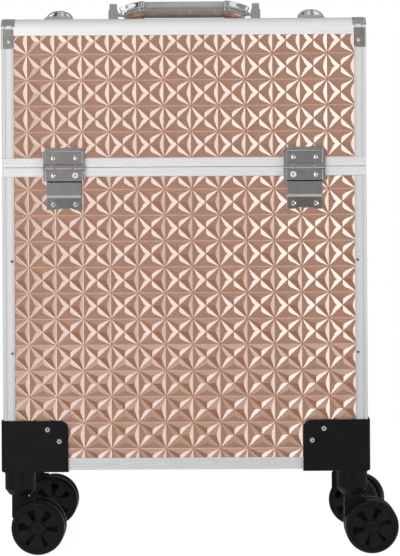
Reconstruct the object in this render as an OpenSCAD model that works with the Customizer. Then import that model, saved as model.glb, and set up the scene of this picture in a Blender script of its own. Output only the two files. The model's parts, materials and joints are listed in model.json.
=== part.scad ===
// Rolling makeup case: an aluminium framed base on four twin-wheel swivel casters, with a split lid that
// opens to the front and to the rear, cantilever trays on both half lids, a folding carry handle, two
// latches on the top and a telescopic pull handle on the rear face.
// The origin is on the floor under the middle of the case. +Z is up and the front faces -Y.

/* [Case] */
// Overall width of the case body
case_w = 340; // [320:1:400]
// Overall depth of the case body
case_d = 230; // [222:1:280]
// Height of the base, from its underside to the seam
base_h = 282; // [262:1:330]
// Height of the lid, from the seam to its top
lid_h = 139; // [130:1:170]
// Gap along the seam and between the two half lids
seam_gap = 0.4; // [0.3:0.1:0.8]

/* [Frame and panels] */
// Wall of the aluminium profiles
frame_t = 1.2; // [1:0.1:1.6]
// Leg of the corner posts and of the rails beside the split
post_leg = 11.3; // [10:0.1:13]
// Face height of the rails along the seam
seam_rail_h = 8.5; // [7:0.1:10]
// Leg of the rails along the underside
bottom_leg = 11; // [9:0.1:13]
// Leg of the rounded rails along the front and rear top edges
top_leg = 16; // [14:0.1:18]
// Outer radius of the rounded top edges
top_r = 10; // [8:0.5:11]
// Outer radius of the other profile edges
edge_r = 2.5; // [1.5:0.1:3]
// Thickness of the wall, top and floor panels
panel_t = 4; // [3.5:0.1:5]
// Thickness of the floor liner
liner_t = 2; // [1:0.5:4]
// Length of a chrome corner cap along the post and along the depth
cap_len = 30; // [24:1:40]
// How far a corner cap stands proud of the profiles
cap_proud = 0.4; // [0.2:0.1:0.8]

/* [Hinges] */
// Distance of each hinge from the middle of the case
hinge_x = 112; // [100:1:118]
// Width of the hinge across its flanges
hinge_w = 39; // [34:1:44]
// Width of the long base leaf
leaf_w = 32.5; // [28:0.5:34]
// Thickness of the leaves
leaf_t = 1.5; // [1.2:0.1:2]
// Length of the base leaf below the seam
leaf_down = 39.8; // [36:0.1:46]
// Length of the lid leaf above the seam
leaf_up = 18.2; // [16:0.1:22]
// Length of the flanged part of the base leaf below the seam
flange_down = 12.7; // [10:0.1:15]
// Height of the flanges above the case face
flange_h = 4; // [3:0.1:4.5]
// Distance of the hinge pin from the case face
hinge_off = 2.8; // [2.7:0.1:3.2]
// Outer radius of the knuckles
knuckle_r = 2.4; // [2:0.1:2.5]
// Radius of the hinge pins
hinge_pin_r = 1.2; // [1:0.1:1.4]
// Width of the lid leaf's middle knuckle
knuckle_w = 18; // [14:1:20]
// Spacing of the rivets across a leaf
leaf_rivet_gap = 21; // [18:0.5:22]

/* [Rivets] */
// Head radius of the hinge rivets
hinge_rivet_r = 2.75; // [2:0.05:3]
// Head radius of the bracket rivets
bracket_rivet_r = 3; // [2:0.1:3.5]
// Head radius of the corner cap rivets
cap_rivet_r = 1.8; // [1.2:0.1:2.5]
// Head radius of the small frame rivets
frame_rivet_r = 1.3; // [1:0.1:1.8]
// Height of a rivet head as a share of its radius
rivet_dome = 0.5; // [0.3:0.05:0.7]

/* [Carry handle] */
// Distance of each post from the middle of the case
post_x = 69; // [60:1:80]
// Distance of the handle in front of the split
handle_back = 26; // [24:1:32]
// Width of a post
post_w = 9; // [7:0.5:11]
// Depth of a post
post_d = 16; // [14:1:18]
// Height of a post above the top panel
post_h = 22.6; // [21:0.1:28]
// Drop of the ferrules' tops from the grip to their ends
grip_rise = 5.5; // [4:0.5:8]
// Radius of the grip's section
grip_r = 8; // [7:0.1:8.4]
// Half length of the grip between its ferrules
grip_half = 38.5; // [30:0.5:44]
// Radius of the grip's pivot pins
handle_pin_r = 2; // [1.5:0.1:2.5]

/* [Latches] */
// Distance of each latch from the middle of the case
latch_x = 122; // [110:1:132]
// Width of a latch
latch_w = 26; // [22:1:28]
// Distance of a lever's pivot in front of the split
latch_back = 40; // [38:1:46]
// Height of a latch above the top panel
latch_h = 17.2; // [16.5:0.1:20]
// Height of a lever's pivot above the top panel
latch_pivot_h = 5.2; // [5:0.1:6]
// Radius of a lever's hub
latch_hub_r = 3.3; // [3:0.1:3.4]
// Radius of a lever's pivot pin
latch_pin_r = 1.5; // [1.2:0.1:2]
// Height of the strike above the lid's top
strike_h = 4.5; // [3.5:0.1:5]
// Free height between the strike and the lever's nose
nose_free = 2.2; // [2.1:0.1:2.6]
// Overhang of the lever's nose past the edge of the strike
nose_over = 2.5; // [1.5:0.1:2.6]

/* [Corner brackets] */
// Reach of a corner bracket along the case
bracket_len = 60.3; // [50:0.1:64]
// Height of a corner bracket
bracket_h = 48; // [40:1:56]
// Wall of a corner bracket
bracket_t = 2; // [1.5:0.1:3]
// Radius of a bracket's free corners
bracket_r = 8; // [4:0.5:12]
// Distance of the caster stem from the two case faces
stem_in = 14.4; // [13.5:0.1:18]
// Outer radius of the stem housing
housing_r = 13.5; // [12:0.1:14.5]
// Height of the stem housing under the bracket
housing_h = 22; // [18:0.5:28]

/* [Casters] */
// Wheel diameter
wheel_d = 50; // [46:1:54]
// Width of one wheel
wheel_w = 13; // [11:0.5:15]
// Trail of the axle behind the stem
trail = 17.5; // [16:0.1:20]
// Thickness of the fork between its two wheels
fork_t = 10; // [8:0.5:12]
// Thickness of the fork's crown
crown_t = 3.9; // [3:0.1:5]
// Radius of the stem
stem_r = 5; // [4:0.1:6]
// Radius of the axle
axle_r = 3; // [2.5:0.1:3.5]

/* [Pull handle] */
// Distance of each tube from the middle of the case
tube_x = 60; // [50:1:66]
// Width of the fixed outer tubes
tube_w = 22; // [20:0.5:24]
// Depth of the fixed outer tubes
tube_d = 15; // [14:0.5:17]
// Wall of the tubes
tube_t = 1; // [0.8:0.1:1.2]
// Height of the grip's top below the seam
pull_drop = 10; // [8:1:20]
// Height of the pull grip
pull_grip_h = 16; // [14:1:20]
// Depth of the pull grip
pull_grip_d = 20; // [18:1:24]
// Height of the collar that holds the outer tubes
collar_h = 24; // [18:1:30]

/* [Trays] */
// Height of a tray
tray_h = 38; // [30:1:38]
// Wall of a tray
tray_t = 2; // [1.5:0.1:3]
// Distance of a tray from the front or rear face of the case
tray_out = 24.5; // [24:0.5:26]
// Distance of a tray from the split
tray_in = 9.5; // [6:0.5:12]
// Height of the lower tray above the seam
tray_low = 8; // [8:0.5:10]
// Height of the upper tray above the lower one
tray_step = 44; // [44:0.5:48]
// Reach of one link of a tray arm, away from the case face
link_y = 35; // [34:0.5:36]
// Rise of one link of a tray arm
link_z = 33; // [32:0.5:34]
// Width of a tray arm
arm_w = 10; // [8:0.5:11]
// Thickness of a tray arm
arm_t = 2; // [1.5:0.1:2.5]
// Radius of the tray pivots
tray_pin_r = 2.5; // [2:0.1:3]

/* [Fits] */
// Radial clearance of a pin that turns in a bore
run_fit = 0.05; // [0.03:0.01:0.08]
// Gap between sliding pieces
slide_gap = 0.2; // [0.15:0.05:0.3]
// Gap between a turning piece and its neighbour
turn_gap = 0.5; // [0.4:0.1:0.8]
// Gap where two frame profiles butt together
butt_gap = 0.1; // [0.05:0.05:0.2]

/* [Hidden] */
$fn = 48;
cut = 1;
silver = [0.83, 0.83, 0.84];
rose = [0.72, 0.53, 0.44];
chrome = [0.75, 0.76, 0.78];
black = [0.08, 0.08, 0.08];
flock = [0.16, 0.15, 0.16];

half_w = case_w / 2;
half_d = case_d / 2;
crown_gap = 0.6;
crown_z = wheel_d + crown_gap;
housing_z = crown_z + crown_t + turn_gap;
bracket_z = housing_z + housing_h;
base_z = bracket_z + bracket_t;
seam_z = base_z + base_h;
top_z = seam_z + lid_h;
wall_t = frame_t + panel_t;
half_gap = seam_gap / 2;
seat_z = top_z - frame_t;

pin_y = -half_d - hinge_off;
knuckle_clear = knuckle_r + turn_gap;
leaf_step_top = 26;
leaf_step_drop = 2.5;
lid_rivet_z = 8.4;
base_rivet_z = [-7.5, -34.5];

grip_end_gap = 2.5;
grip_over = 1.9;
grip_z = seat_z + post_h + grip_over - grip_r;
bend_run = post_x - post_w / 2 - grip_end_gap - grip_half;
bend_out = (bend_run ^ 2 + grip_rise ^ 2) / (2 * grip_rise);
bend_r = bend_out - grip_r;
bend_a = asin(bend_run / bend_out);
grip_pivot_z = grip_z - bend_r * (1 - cos(bend_a));

ear_t = 2.5;
latch_pivot_y = -latch_back;
latch_pivot_z = seat_z + latch_pivot_h;
strike_y = 1;
strike_d = 9;
nose_y = strike_y + nose_over;
nose_z = top_z + strike_h + nose_free;
latch_top_z = seat_z + latch_h;

side_in = half_w - wall_t;
arm_gap = 1.4;
tray_end = side_in - arm_t - 2 * arm_gap;
trunnion_deep = 2.5;
arm_foot = [28, -10];
link = [link_y, link_z];

axle_z = wheel_d / 2;
wheel_y = fork_t / 2 + turn_gap;
hub_cap_t = 2;

tube_y = half_d + turn_gap + pull_grip_d / 2;
pull_top_z = seam_z - pull_drop;
pull_grip_z = pull_top_z - pull_grip_h;
collar_down = 10;
tube_top_z = pull_grip_z - collar_down;
foot_up = 3;
tube_foot_z = base_z + bottom_leg + foot_up;
stage_drop = tube_t + slide_gap;
stage_rise = 3;
button_w = 26;
button_d = 9;
button_deep = 5;
button_up = 3.5;

corners = ["front_left", "front_right", "rear_left", "rear_right"];
corner_x = [-1, 1, -1, 1];
corner_y = [-1, -1, 1, 1];
swivel_rest = [0, 0, 0, -20];

// Plan shape of the case with its vertical edges rounded, grown by g all round
module case_plan(g = 0) {
    r = edge_r + g;
    w = case_w + 2 * g;
    d = case_d + 2 * g;
    square([w - 2 * r, d], center = true);
    square([w, d - 2 * r], center = true);
    for (x = [-1, 1], y = [-1, 1])
        translate([x * (w / 2 - r), y * (d / 2 - r)])
            circle(r);
}

// Plan shape of the space inside a wall of thickness t
module inner_plan(t) {
    square([case_w - 2 * t, case_d - 2 * t], center = true);
}

// A flat ring around the case, t deep and h high
module ring(t, h) {
    linear_extrude(h)
        difference() {
            case_plan();
            inner_plan(t);
        }
}

// Mitred wedges that cut a ring of depth m into its front and its right side
module front_wedge(m) {
    polygon([
        [-half_w - cut + butt_gap, -half_d - cut],
        [half_w + cut - butt_gap, -half_d - cut],
        [half_w - m - butt_gap, -half_d + m],
        [-half_w + m + butt_gap, -half_d + m]
    ]);
}

module right_wedge(m) {
    polygon([
        [half_w + cut, -half_d - cut],
        [half_w + cut, half_d + cut],
        [half_w - m, half_d - m],
        [half_w - m, -half_d + m]
    ]);
}

// Both sides of a shape, left and right
module both_x() {
    children();
    mirror([1, 0, 0]) children();
}

// Both ends of a shape, front and rear
module both_y() {
    children();
    mirror([0, 1, 0]) children();
}

// Keeps what lies in front of the split
module front_half() {
    intersection() {
        children();
        translate([-case_w, -case_d, 0])
            cube([2 * case_w, case_d - half_gap, 2 * top_z]);
    }
}

// The rail that covers the seam edge of a wall; up is 1 for the base and -1 for the lid
module seam_ring(up) {
    face_z = seam_z - up * half_gap;
    lip_z = up > 0 ? face_z - frame_t : face_z;
    leg_z = up > 0 ? face_z - seam_rail_h : face_z + frame_t;
    translate([0, 0, lip_z]) ring(wall_t, frame_t);
    translate([0, 0, leg_z]) ring(frame_t, seam_rail_h - frame_t);
}

// The rail that covers the bottom edge of a wall
module bottom_ring() {
    translate([0, 0, base_z]) ring(bottom_leg, frame_t);
    translate([0, 0, base_z + frame_t]) ring(frame_t, bottom_leg - frame_t);
}

module ring_sides(m) {
    both_y()
        intersection() {
            children();
            linear_extrude(2 * top_z) front_wedge(m);
        }
    both_x()
        intersection() {
            children();
            linear_extrude(2 * top_z) right_wedge(m);
        }
}

// Section of the front right corner post
module post_plan() {
    difference() {
        intersection() {
            case_plan();
            translate([half_w - post_leg, -half_d])
                square(post_leg);
        }
        inner_plan(frame_t);
    }
}

module base_frame() {
    color(silver) {
        ring_sides(bottom_leg + cut) bottom_ring();
        ring_sides(wall_t + cut) seam_ring(1);
        both_y() both_x()
            translate([0, 0, base_z + bottom_leg + butt_gap])
                linear_extrude(base_h - bottom_leg - half_gap - seam_rail_h - 2 * butt_gap)
                    post_plan();
    }
}

// The front wall panel of the base
module base_wall() {
    translate([-half_w + frame_t, -half_d + frame_t, base_z + frame_t])
        cube([case_w - 2 * frame_t, panel_t, base_h - half_gap - 2 * frame_t]);
}

module base_front_panel() {
    color(rose) base_wall();
}

module base_rear_panel() {
    color(rose) mirror([0, 1, 0]) base_wall();
}

module base_side_panels() {
    color(rose)
        both_x()
            difference() {
                translate([side_in, -half_d + wall_t, base_z + frame_t])
                    cube([panel_t, case_d - 2 * wall_t, base_h - half_gap - 2 * frame_t]);
                both_y()
                    translate([side_in - cut, pin_y + arm_foot[0], seam_z + arm_foot[1]])
                        rotate([0, 90, 0])
                            cylinder(r = tray_pin_r + run_fit, h = cut + trunnion_deep + turn_gap);
            }
}

module base_floor_panel() {
    color(flock)
        translate([-side_in, -half_d + wall_t, base_z + frame_t])
            cube([2 * side_in, case_d - 2 * wall_t, panel_t]);
}

module base_floor_liner() {
    liner_w = 2 * (side_in - turn_gap);
    liner_d = case_d - 2 * (wall_t + turn_gap);
    color(black)
        translate([-liner_w / 2, -liner_d / 2, base_z + wall_t])
            cube([liner_w, liner_d, liner_t]);
}

// Domed rivet head on a face at z = 0
module rivet(r) {
    flat = 0.6;
    cylinder(r1 = r, r2 = r * flat, h = r * rivet_dome);
}

// Places children on the front face of the case, with their z axis pointing out of it
module on_front(x, z, proud = 0) {
    translate([x, -half_d - proud, z])
        rotate([90, 0, 0])
            children();
}

// Places children on the right face of the case, with their z axis pointing out of it
module on_right(y, z, proud = 0) {
    translate([half_w + proud, y, z])
        rotate([0, 90, 0])
            children();
}

module base_rivets() {
    frame_rivet_edge = 2.5;
    frame_rivet_in = post_leg - frame_rivet_edge;
    frame_rivet_share = [0.385, 0.69];
    near = 8.3;
    far = 19.2;
    inner = half_w - bracket_len;
    bracket_top = bracket_z + bracket_h;
    color(chrome)
        both_y() both_x() {
            for (share = frame_rivet_share) {
                z = base_z + share * base_h;
                on_front(half_w - frame_rivet_in, z) rivet(frame_rivet_r);
                on_right(-half_d + frame_rivet_in, z) rivet(frame_rivet_r);
            }
            for (p = [[near, far], [far, near]]) {
                on_front(inner + p[0], bracket_top - p[1], bracket_t) rivet(bracket_rivet_r);
                on_right(-half_d + bracket_len - p[0], bracket_top - p[1], bracket_t) rivet(bracket_rivet_r);
            }
            for (x = [-1, 1]) {
                on_front(hinge_x + x * leaf_rivet_gap / 2, seam_z + base_rivet_z[0], leaf_t)
                    rivet(hinge_rivet_r);
                on_front(hinge_x + x * leaf_rivet_gap / 2, seam_z + base_rivet_z[1], leaf_t - frame_t)
                    rivet(hinge_rivet_r);
            }
        }
}

// Face of a corner bracket, with its origin at the lower free corner
module bracket_face(l) {
    square([l, bracket_h - bracket_r]);
    translate([bracket_r, 0]) square([l - bracket_r, bracket_h]);
    translate([bracket_r, bracket_h - bracket_r]) circle(bracket_r);
}

module corner_bracket() {
    l = bracket_len + bracket_t;
    stem = [half_w - stem_in, -half_d + stem_in];
    intersection() {
        union() {
            translate([half_w - bracket_len, -half_d, bracket_z])
                rotate([90, 0, 0])
                    linear_extrude(bracket_t) bracket_face(l);
            translate([half_w, -half_d + bracket_len, bracket_z])
                rotate([90, 0, -90])
                    mirror([0, 0, 1]) linear_extrude(bracket_t) bracket_face(l);
            translate([half_w - bracket_len, -half_d - bracket_t, bracket_z])
                cube([l, l, bracket_t]);
        }
        translate([0, 0, bracket_z - cut])
            linear_extrude(bracket_h + 2 * cut)
                case_plan(bracket_t);
    }
    taper_in = 4;
    taper_h = 5.5;
    difference() {
        translate([stem[0], stem[1], housing_z]) {
            cylinder(r1 = housing_r - taper_in, r2 = housing_r, h = taper_h);
            translate([0, 0, taper_h]) cylinder(r = housing_r, h = housing_h - taper_h);
        }
        translate([stem[0], stem[1], housing_z - cut])
            cylinder(r = stem_r + run_fit, h = housing_h);
    }
}

module corner_brackets() {
    color(black) both_y() both_x() corner_bracket();
}

// Flanges along both edges of a leaf
module leaf_flanges(z, h) {
    flange_t = 1.2;
    both_x()
        translate([hinge_w / 2 - flange_t, 0, z])
            cube([flange_t, flange_h, h]);
}

// Knuckle of a hinge, from x0 to x1 along the pin
module knuckle(x0, x1, fit) {
    difference() {
        union() {
            translate([x0, hinge_off, 0]) rotate([0, 90, 0]) cylinder(r = knuckle_r, h = x1 - x0);
            children();
        }
        translate([x0 - cut, hinge_off, 0])
            rotate([0, 90, 0])
                cylinder(r = hinge_pin_r + fit, h = x1 - x0 + 2 * cut);
    }
}

// Base leaf on the seam: y is out of the case and z is up
module base_leaf() {
    step_bottom = leaf_step_top + leaf_step_drop;
    translate([-leaf_w / 2, 0, 0])
        rotate([90, 0, 90])
            linear_extrude(leaf_w)
                polygon([
                    [0, -knuckle_clear],
                    [leaf_t, -knuckle_clear],
                    [leaf_t, -leaf_step_top],
                    [leaf_t - frame_t, -step_bottom],
                    [leaf_t - frame_t, -leaf_down],
                    [-frame_t, -leaf_down],
                    [-frame_t, -step_bottom],
                    [0, -leaf_step_top]
                ]);
    translate([-hinge_w / 2, 0, -flange_down])
        cube([hinge_w, leaf_t, flange_down - knuckle_clear]);
    leaf_flanges(-flange_down, flange_down - knuckle_clear);
    inner = knuckle_w / 2 + slide_gap;
    both_x()
        knuckle(inner, hinge_w / 2, 0)
            translate([inner, 0, -knuckle_clear])
                cube([hinge_w / 2 - inner, leaf_t, knuckle_clear]);
}

module lid_leaf() {
    lip = 2;
    lip_proud = 0.8;
    translate([-hinge_w / 2, 0, knuckle_clear])
        cube([hinge_w, leaf_t, leaf_up - knuckle_clear]);
    translate([-hinge_w / 2, 0, leaf_up - lip])
        cube([hinge_w, leaf_t + lip_proud, lip]);
    leaf_flanges(knuckle_clear, leaf_up - knuckle_clear);
    knuckle(-knuckle_w / 2, knuckle_w / 2, run_fit)
        translate([-knuckle_w / 2, 0, 0])
            cube([knuckle_w, leaf_t, knuckle_clear]);
}

// Places a hinge piece on the front face, left and right
module at_hinges() {
    for (x = [-1, 1])
        translate([x * hinge_x, -half_d, seam_z])
            mirror([0, 1, 0])
                children();
}

module hinge_base_leaves() {
    color(chrome) both_y() at_hinges() base_leaf();
}

module hinge_pins() {
    pin_l = hinge_w + 1;
    color(chrome)
        both_y() at_hinges()
            translate([-pin_l / 2, hinge_off, 0])
                rotate([0, 90, 0])
                    cylinder(r = hinge_pin_r, h = pin_l);
}

// Section of the lid's front top edge: its origin is the outer corner, x runs back and y down
module top_edge_section(r, leg, t) {
    difference() {
        union() {
            translate([r, 0]) square([leg - r, t]);
            translate([0, r]) square([t, leg - r]);
            intersection() {
                square(r);
                translate([r, r]) circle(r);
            }
        }
        translate([r, r]) circle(r - t);
    }
}

// Front half of the lid's frame
module lid_frame() {
    rail_z = seam_z + half_gap + seam_rail_h + butt_gap;
    front_half() {
        both_x()
            intersection() {
                seam_ring(-1);
                linear_extrude(2 * top_z) right_wedge(wall_t + cut);
            }
        intersection() {
            seam_ring(-1);
            linear_extrude(2 * top_z) front_wedge(wall_t + cut);
        }
    }
    both_x()
        translate([0, 0, rail_z])
            linear_extrude(top_z - cap_len - rail_z)
                post_plan();
    front_w = case_w - 2 * post_leg;
    translate([-front_w / 2, -half_d, top_z])
        rotate([90, 0, 90])
            mirror([0, 1, 0])
                linear_extrude(front_w)
                    top_edge_section(top_r, top_leg, frame_t);
    both_x()
        translate([half_w, -half_gap, top_z])
            rotate([90, 0, 0])
                linear_extrude(half_d - half_gap - cap_len)
                    mirror([1, 0, 0]) mirror([0, 1, 0])
                        top_edge_section(edge_r, post_leg, frame_t);
    split_w = case_w - 2 * (post_leg + butt_gap);
    split_h = top_z - post_leg - butt_gap - rail_z;
    translate([-split_w / 2, -half_gap - post_leg, seat_z])
        cube([split_w, post_leg, frame_t]);
    translate([-split_w / 2, -half_gap - frame_t, seat_z - panel_t])
        cube([split_w, frame_t, panel_t]);
    both_x() {
        translate([half_w - frame_t, -half_gap - post_leg, rail_z])
            cube([frame_t, post_leg, split_h]);
        translate([side_in, -half_gap - frame_t, rail_z])
            cube([panel_t, frame_t, split_h]);
    }
}

module lid_wall() {
    z = seam_z + half_gap + frame_t;
    translate([-half_w + frame_t, -half_d + frame_t, z])
        cube([case_w - 2 * frame_t, panel_t, top_z - top_r - z]);
}

module lid_top() {
    w = case_w - 2 * edge_r;
    translate([-w / 2, -half_d + top_r, seat_z - panel_t])
        cube([w, half_d - top_r - half_gap - frame_t, panel_t]);
}

module lid_sides() {
    z = seam_z + half_gap + frame_t;
    both_x()
        difference() {
            translate([side_in, -half_d + wall_t, z])
                cube([panel_t, half_d - wall_t - half_gap - frame_t, seat_z - panel_t - z]);
            for (k = [1, 2])
                translate([side_in - cut, pin_y + k * link[0], seam_z + k * link[1]])
                    rotate([0, 90, 0])
                        cylinder(r = tray_pin_r + run_fit, h = cut + trunnion_deep + turn_gap);
        }
}

// Rounded block at the front right top corner, inset by t from the cap's outer faces
module cap_block(t, size_x, size_y, size_z) {
    p = cap_proud - t;
    x1 = half_w + p;
    y0 = -half_d - p;
    z1 = top_z + p;
    r_top = top_r + p;
    r_side = edge_r + p;
    intersection() {
        translate([x1 - size_x, y0, z1])
            rotate([90, 0, 90])
                mirror([0, 1, 0])
                    linear_extrude(size_x) {
                        translate([r_top, 0]) square([size_y - r_top, size_z]);
                        translate([0, r_top]) square([size_y, size_z - r_top]);
                        translate([r_top, r_top]) circle(r_top);
                    }
        translate([x1, y0 + size_y, z1])
            rotate([90, 0, 0])
                linear_extrude(size_y)
                    mirror([1, 0, 0]) mirror([0, 1, 0]) {
                        translate([r_side, 0]) square([size_x - r_side, size_z]);
                        translate([0, r_side]) square([size_x, size_z - r_side]);
                        translate([r_side, r_side]) circle(r_side);
                    }
    }
}

module lid_cap() {
    wall = frame_t + cap_proud;
    difference() {
        cap_block(0, post_leg + cap_proud, cap_len + cap_proud, cap_len + cap_proud);
        cap_block(wall, post_leg + cut, cap_len + cut, cap_len + cut);
    }
}

module lid_caps() {
    both_x() lid_cap();
}

module lid_leaves() {
    at_hinges() lid_leaf();
}

module lid_rivets() {
    cap_rivet_in = 7;
    cap_rivet_up = 6.7;
    cap_rivet_z = top_z - cap_len + cap_rivet_up;
    for (hinge = [-1, 1], x = [-1, 1])
        on_front(hinge * hinge_x + x * leaf_rivet_gap / 2, seam_z + lid_rivet_z, leaf_t)
            rivet(hinge_rivet_r);
    both_x() {
        on_front(half_w - cap_rivet_in, cap_rivet_z, cap_proud) rivet(cap_rivet_r);
        on_right(-half_d + cap_len - cap_rivet_in, cap_rivet_z, cap_proud) rivet(cap_rivet_r);
    }
}

module front_lid_frame() {
    color(silver) lid_frame();
}

module front_lid_panel() {
    color(rose) lid_wall();
}

module front_lid_top() {
    color(rose) lid_top();
}

module front_lid_sides() {
    color(rose) lid_sides();
}

module front_lid_caps() {
    color(chrome) lid_caps();
}

module front_lid_leaves() {
    color(chrome) lid_leaves();
}

module front_lid_rivets() {
    color(chrome) lid_rivets();
}

module rear_lid_frame() {
    color(silver) mirror([0, 1, 0]) lid_frame();
}

module rear_lid_panel() {
    color(rose) mirror([0, 1, 0]) lid_wall();
}

module rear_lid_top() {
    color(rose) mirror([0, 1, 0]) lid_top();
}

module rear_lid_sides() {
    color(rose) mirror([0, 1, 0]) lid_sides();
}

module rear_lid_caps() {
    color(chrome) mirror([0, 1, 0]) lid_caps();
}

module rear_lid_leaves() {
    color(chrome) mirror([0, 1, 0]) lid_leaves();
}

module rear_lid_rivets() {
    color(chrome) mirror([0, 1, 0]) lid_rivets();
}

// One post of the carry handle, standing on the top panel
module handle_post() {
    flange_past = 8;
    flange = [post_w + flange_past, post_d + flange_past, 2.5];
    head_h = 6.5;
    head_in = 1;
    step_z = post_h - head_h;
    difference() {
        union() {
            translate([-flange[0] / 2, -flange[1] / 2, 0]) cube(flange);
            translate([-post_w / 2, -post_d / 2, 0]) cube([post_w, post_d, step_z]);
            translate([-post_w / 2 + head_in, 0, step_z])
                rotate([90, 0, 90])
                    linear_extrude(post_w - 2 * head_in)
                        intersection() {
                            translate([-post_d / 2 + head_in, -cut])
                                square([post_d - 2 * head_in, head_h + cut]);
                            translate([0, head_h - post_d]) circle(post_d);
                        }
        }
        translate([-post_w, 0, grip_pivot_z - seat_z])
            rotate([0, 90, 0])
                cylinder(r = handle_pin_r + run_fit, h = 2 * post_w);
    }
}

module handle_posts() {
    color(chrome)
        both_x()
            translate([post_x, -handle_back, seat_z])
                handle_post();
}

module handle_grip() {
    color(chrome)
        translate([-grip_half, -handle_back, grip_z])
            rotate([0, 90, 0])
                cylinder(r = grip_r, h = 2 * grip_half);
}

// A stretch of the bend beyond the grip, between two angles from the grip's end, r thick
module ferrule_arc(a0, a1, r) {
    translate([grip_half, -handle_back, grip_z - bend_r])
        rotate([90, 0, 0])
            rotate(90 - a1)
                rotate_extrude(angle = a1 - a0)
                    translate([bend_r, 0])
                        circle(r);
}

module handle_ferrules() {
    ring_w = 5;
    ring_a = ring_w / bend_r * 180 / PI;
    ring_proud = 0.8;
    ferrule_proud = 0.3;
    pin_from = grip_half + bend_run / 2;
    color(chrome)
        both_x() {
            ferrule_arc(0, ring_a, grip_r + ring_proud);
            ferrule_arc(ring_a / 2, bend_a, grip_r + ferrule_proud);
            translate([pin_from, -handle_back, grip_pivot_z])
                rotate([0, 90, 0])
                    cylinder(r = handle_pin_r, h = post_x + post_w / 2 - pin_from);
        }
}

// Everything a lever's pivot carries is placed from the split line and the top panel
module latch_base() {
    plate_t = 1.5;
    plate_past = 4;
    plate_y = latch_pivot_y - latch_hub_r - plate_past;
    plate_d = -post_leg - half_gap - turn_gap - plate_y;
    translate([-latch_w / 2, plate_y, seat_z]) cube([latch_w, plate_d, plate_t]);
    both_x()
        translate([latch_w / 2 - ear_t, latch_pivot_y, latch_pivot_z])
            rotate([0, 90, 0])
                linear_extrude(ear_t) {
                    circle(latch_hub_r);
                    translate([0, -latch_hub_r]) square([latch_pivot_h, 2 * latch_hub_r]);
                }
    translate([-latch_w / 2, latch_pivot_y, latch_pivot_z])
        rotate([0, 90, 0])
            cylinder(r = latch_pin_r, h = latch_w);
}

module at_latches() {
    for (x = [-1, 1])
        translate([x * latch_x, 0, 0])
            children();
}

module latch_bases() {
    color(chrome) at_latches() latch_base();
}

module latch_strikes() {
    strike_in = 3;
    strike_w = latch_w - 2 * strike_in;
    toe_h = 1.5;
    toe_d = 3;
    color(chrome)
        at_latches()
            translate([-strike_w / 2, strike_y, top_z])
                rotate([90, 0, 90])
                    linear_extrude(strike_w)
                        polygon([
                            [0, 0],
                            [strike_d, 0],
                            [strike_d, toe_h],
                            [strike_d - toe_d, strike_h],
                            [0, strike_h]
                        ]);
}

// Side shape of a lever, with x along the depth and y up
module lever_side() {
    shoulder = 7;
    nose_t = 3;
    hub_in = 0.5;
    hub_free = 0.3;
    polygon([
        [latch_pivot_y, latch_pivot_z - latch_hub_r + hub_in],
        [latch_pivot_y + latch_hub_r, nose_z],
        [nose_y, nose_z],
        [nose_y, nose_z + nose_t],
        [nose_y - shoulder, latch_top_z],
        [latch_pivot_y + 2 * shoulder, latch_top_z],
        [latch_pivot_y, latch_pivot_z + latch_hub_r - hub_in]
    ]);
    translate([latch_pivot_y, latch_pivot_z]) circle(latch_hub_r - hub_free);
}

module latch_lever() {
    ear_room = ear_t + slide_gap;
    hub_w = latch_w - 2 * ear_room;
    ear_clear = 1.4;
    dome_y = latch_pivot_y + latch_hub_r + ear_clear;
    rise = 8;
    dome_r = (latch_w ^ 2 / 4 + rise ^ 2) / (2 * rise);
    difference() {
        intersection() {
            translate([-latch_w / 2, 0, 0])
                rotate([90, 0, 90])
                    linear_extrude(latch_w)
                        lever_side();
            union() {
                translate([-latch_w / 2, dome_y, seat_z]) cube([latch_w, latch_back * 2, 2 * latch_h]);
                translate([-hub_w / 2, -2 * latch_back, seat_z]) cube([hub_w, 4 * latch_back, 2 * latch_h]);
            }
            translate([0, latch_back, latch_top_z - dome_r])
                rotate([90, 0, 0])
                    cylinder(r = dome_r, h = 3 * latch_back);
        }
        translate([-latch_w, latch_pivot_y, latch_pivot_z])
            rotate([0, 90, 0])
                cylinder(r = latch_pin_r + run_fit, h = 2 * latch_w);
    }
}

module left_latch_lever() {
    color(chrome) translate([-latch_x, 0, 0]) latch_lever();
}

module right_latch_lever() {
    color(chrome) translate([latch_x, 0, 0]) latch_lever();
}

// Both tubes of one stage of the pull handle; stage 0 is the fixed outer pair
module stage_tubes(stage, z0, z1) {
    w = tube_w - 2 * stage * stage_drop;
    d = tube_d - 2 * stage * stage_drop;
    both_x()
        translate([tube_x, tube_y, z0])
            linear_extrude(z1 - z0)
                difference() {
                    square([w, d], center = true);
                    square([w - 2 * tube_t, d - 2 * tube_t], center = true);
                }
}

module pull_outer_tubes() {
    color(silver) stage_tubes(0, tube_foot_z, tube_top_z);
}

module pull_first_tubes() {
    color(silver) stage_tubes(1, tube_foot_z + stage_rise, tube_top_z + stage_rise);
}

module pull_second_tubes() {
    color(silver) stage_tubes(2, tube_foot_z + 2 * stage_rise, tube_top_z + 2 * stage_rise);
}

module pull_third_tubes() {
    color(silver) stage_tubes(3, tube_foot_z + 3 * stage_rise, pull_grip_z);
}

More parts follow.
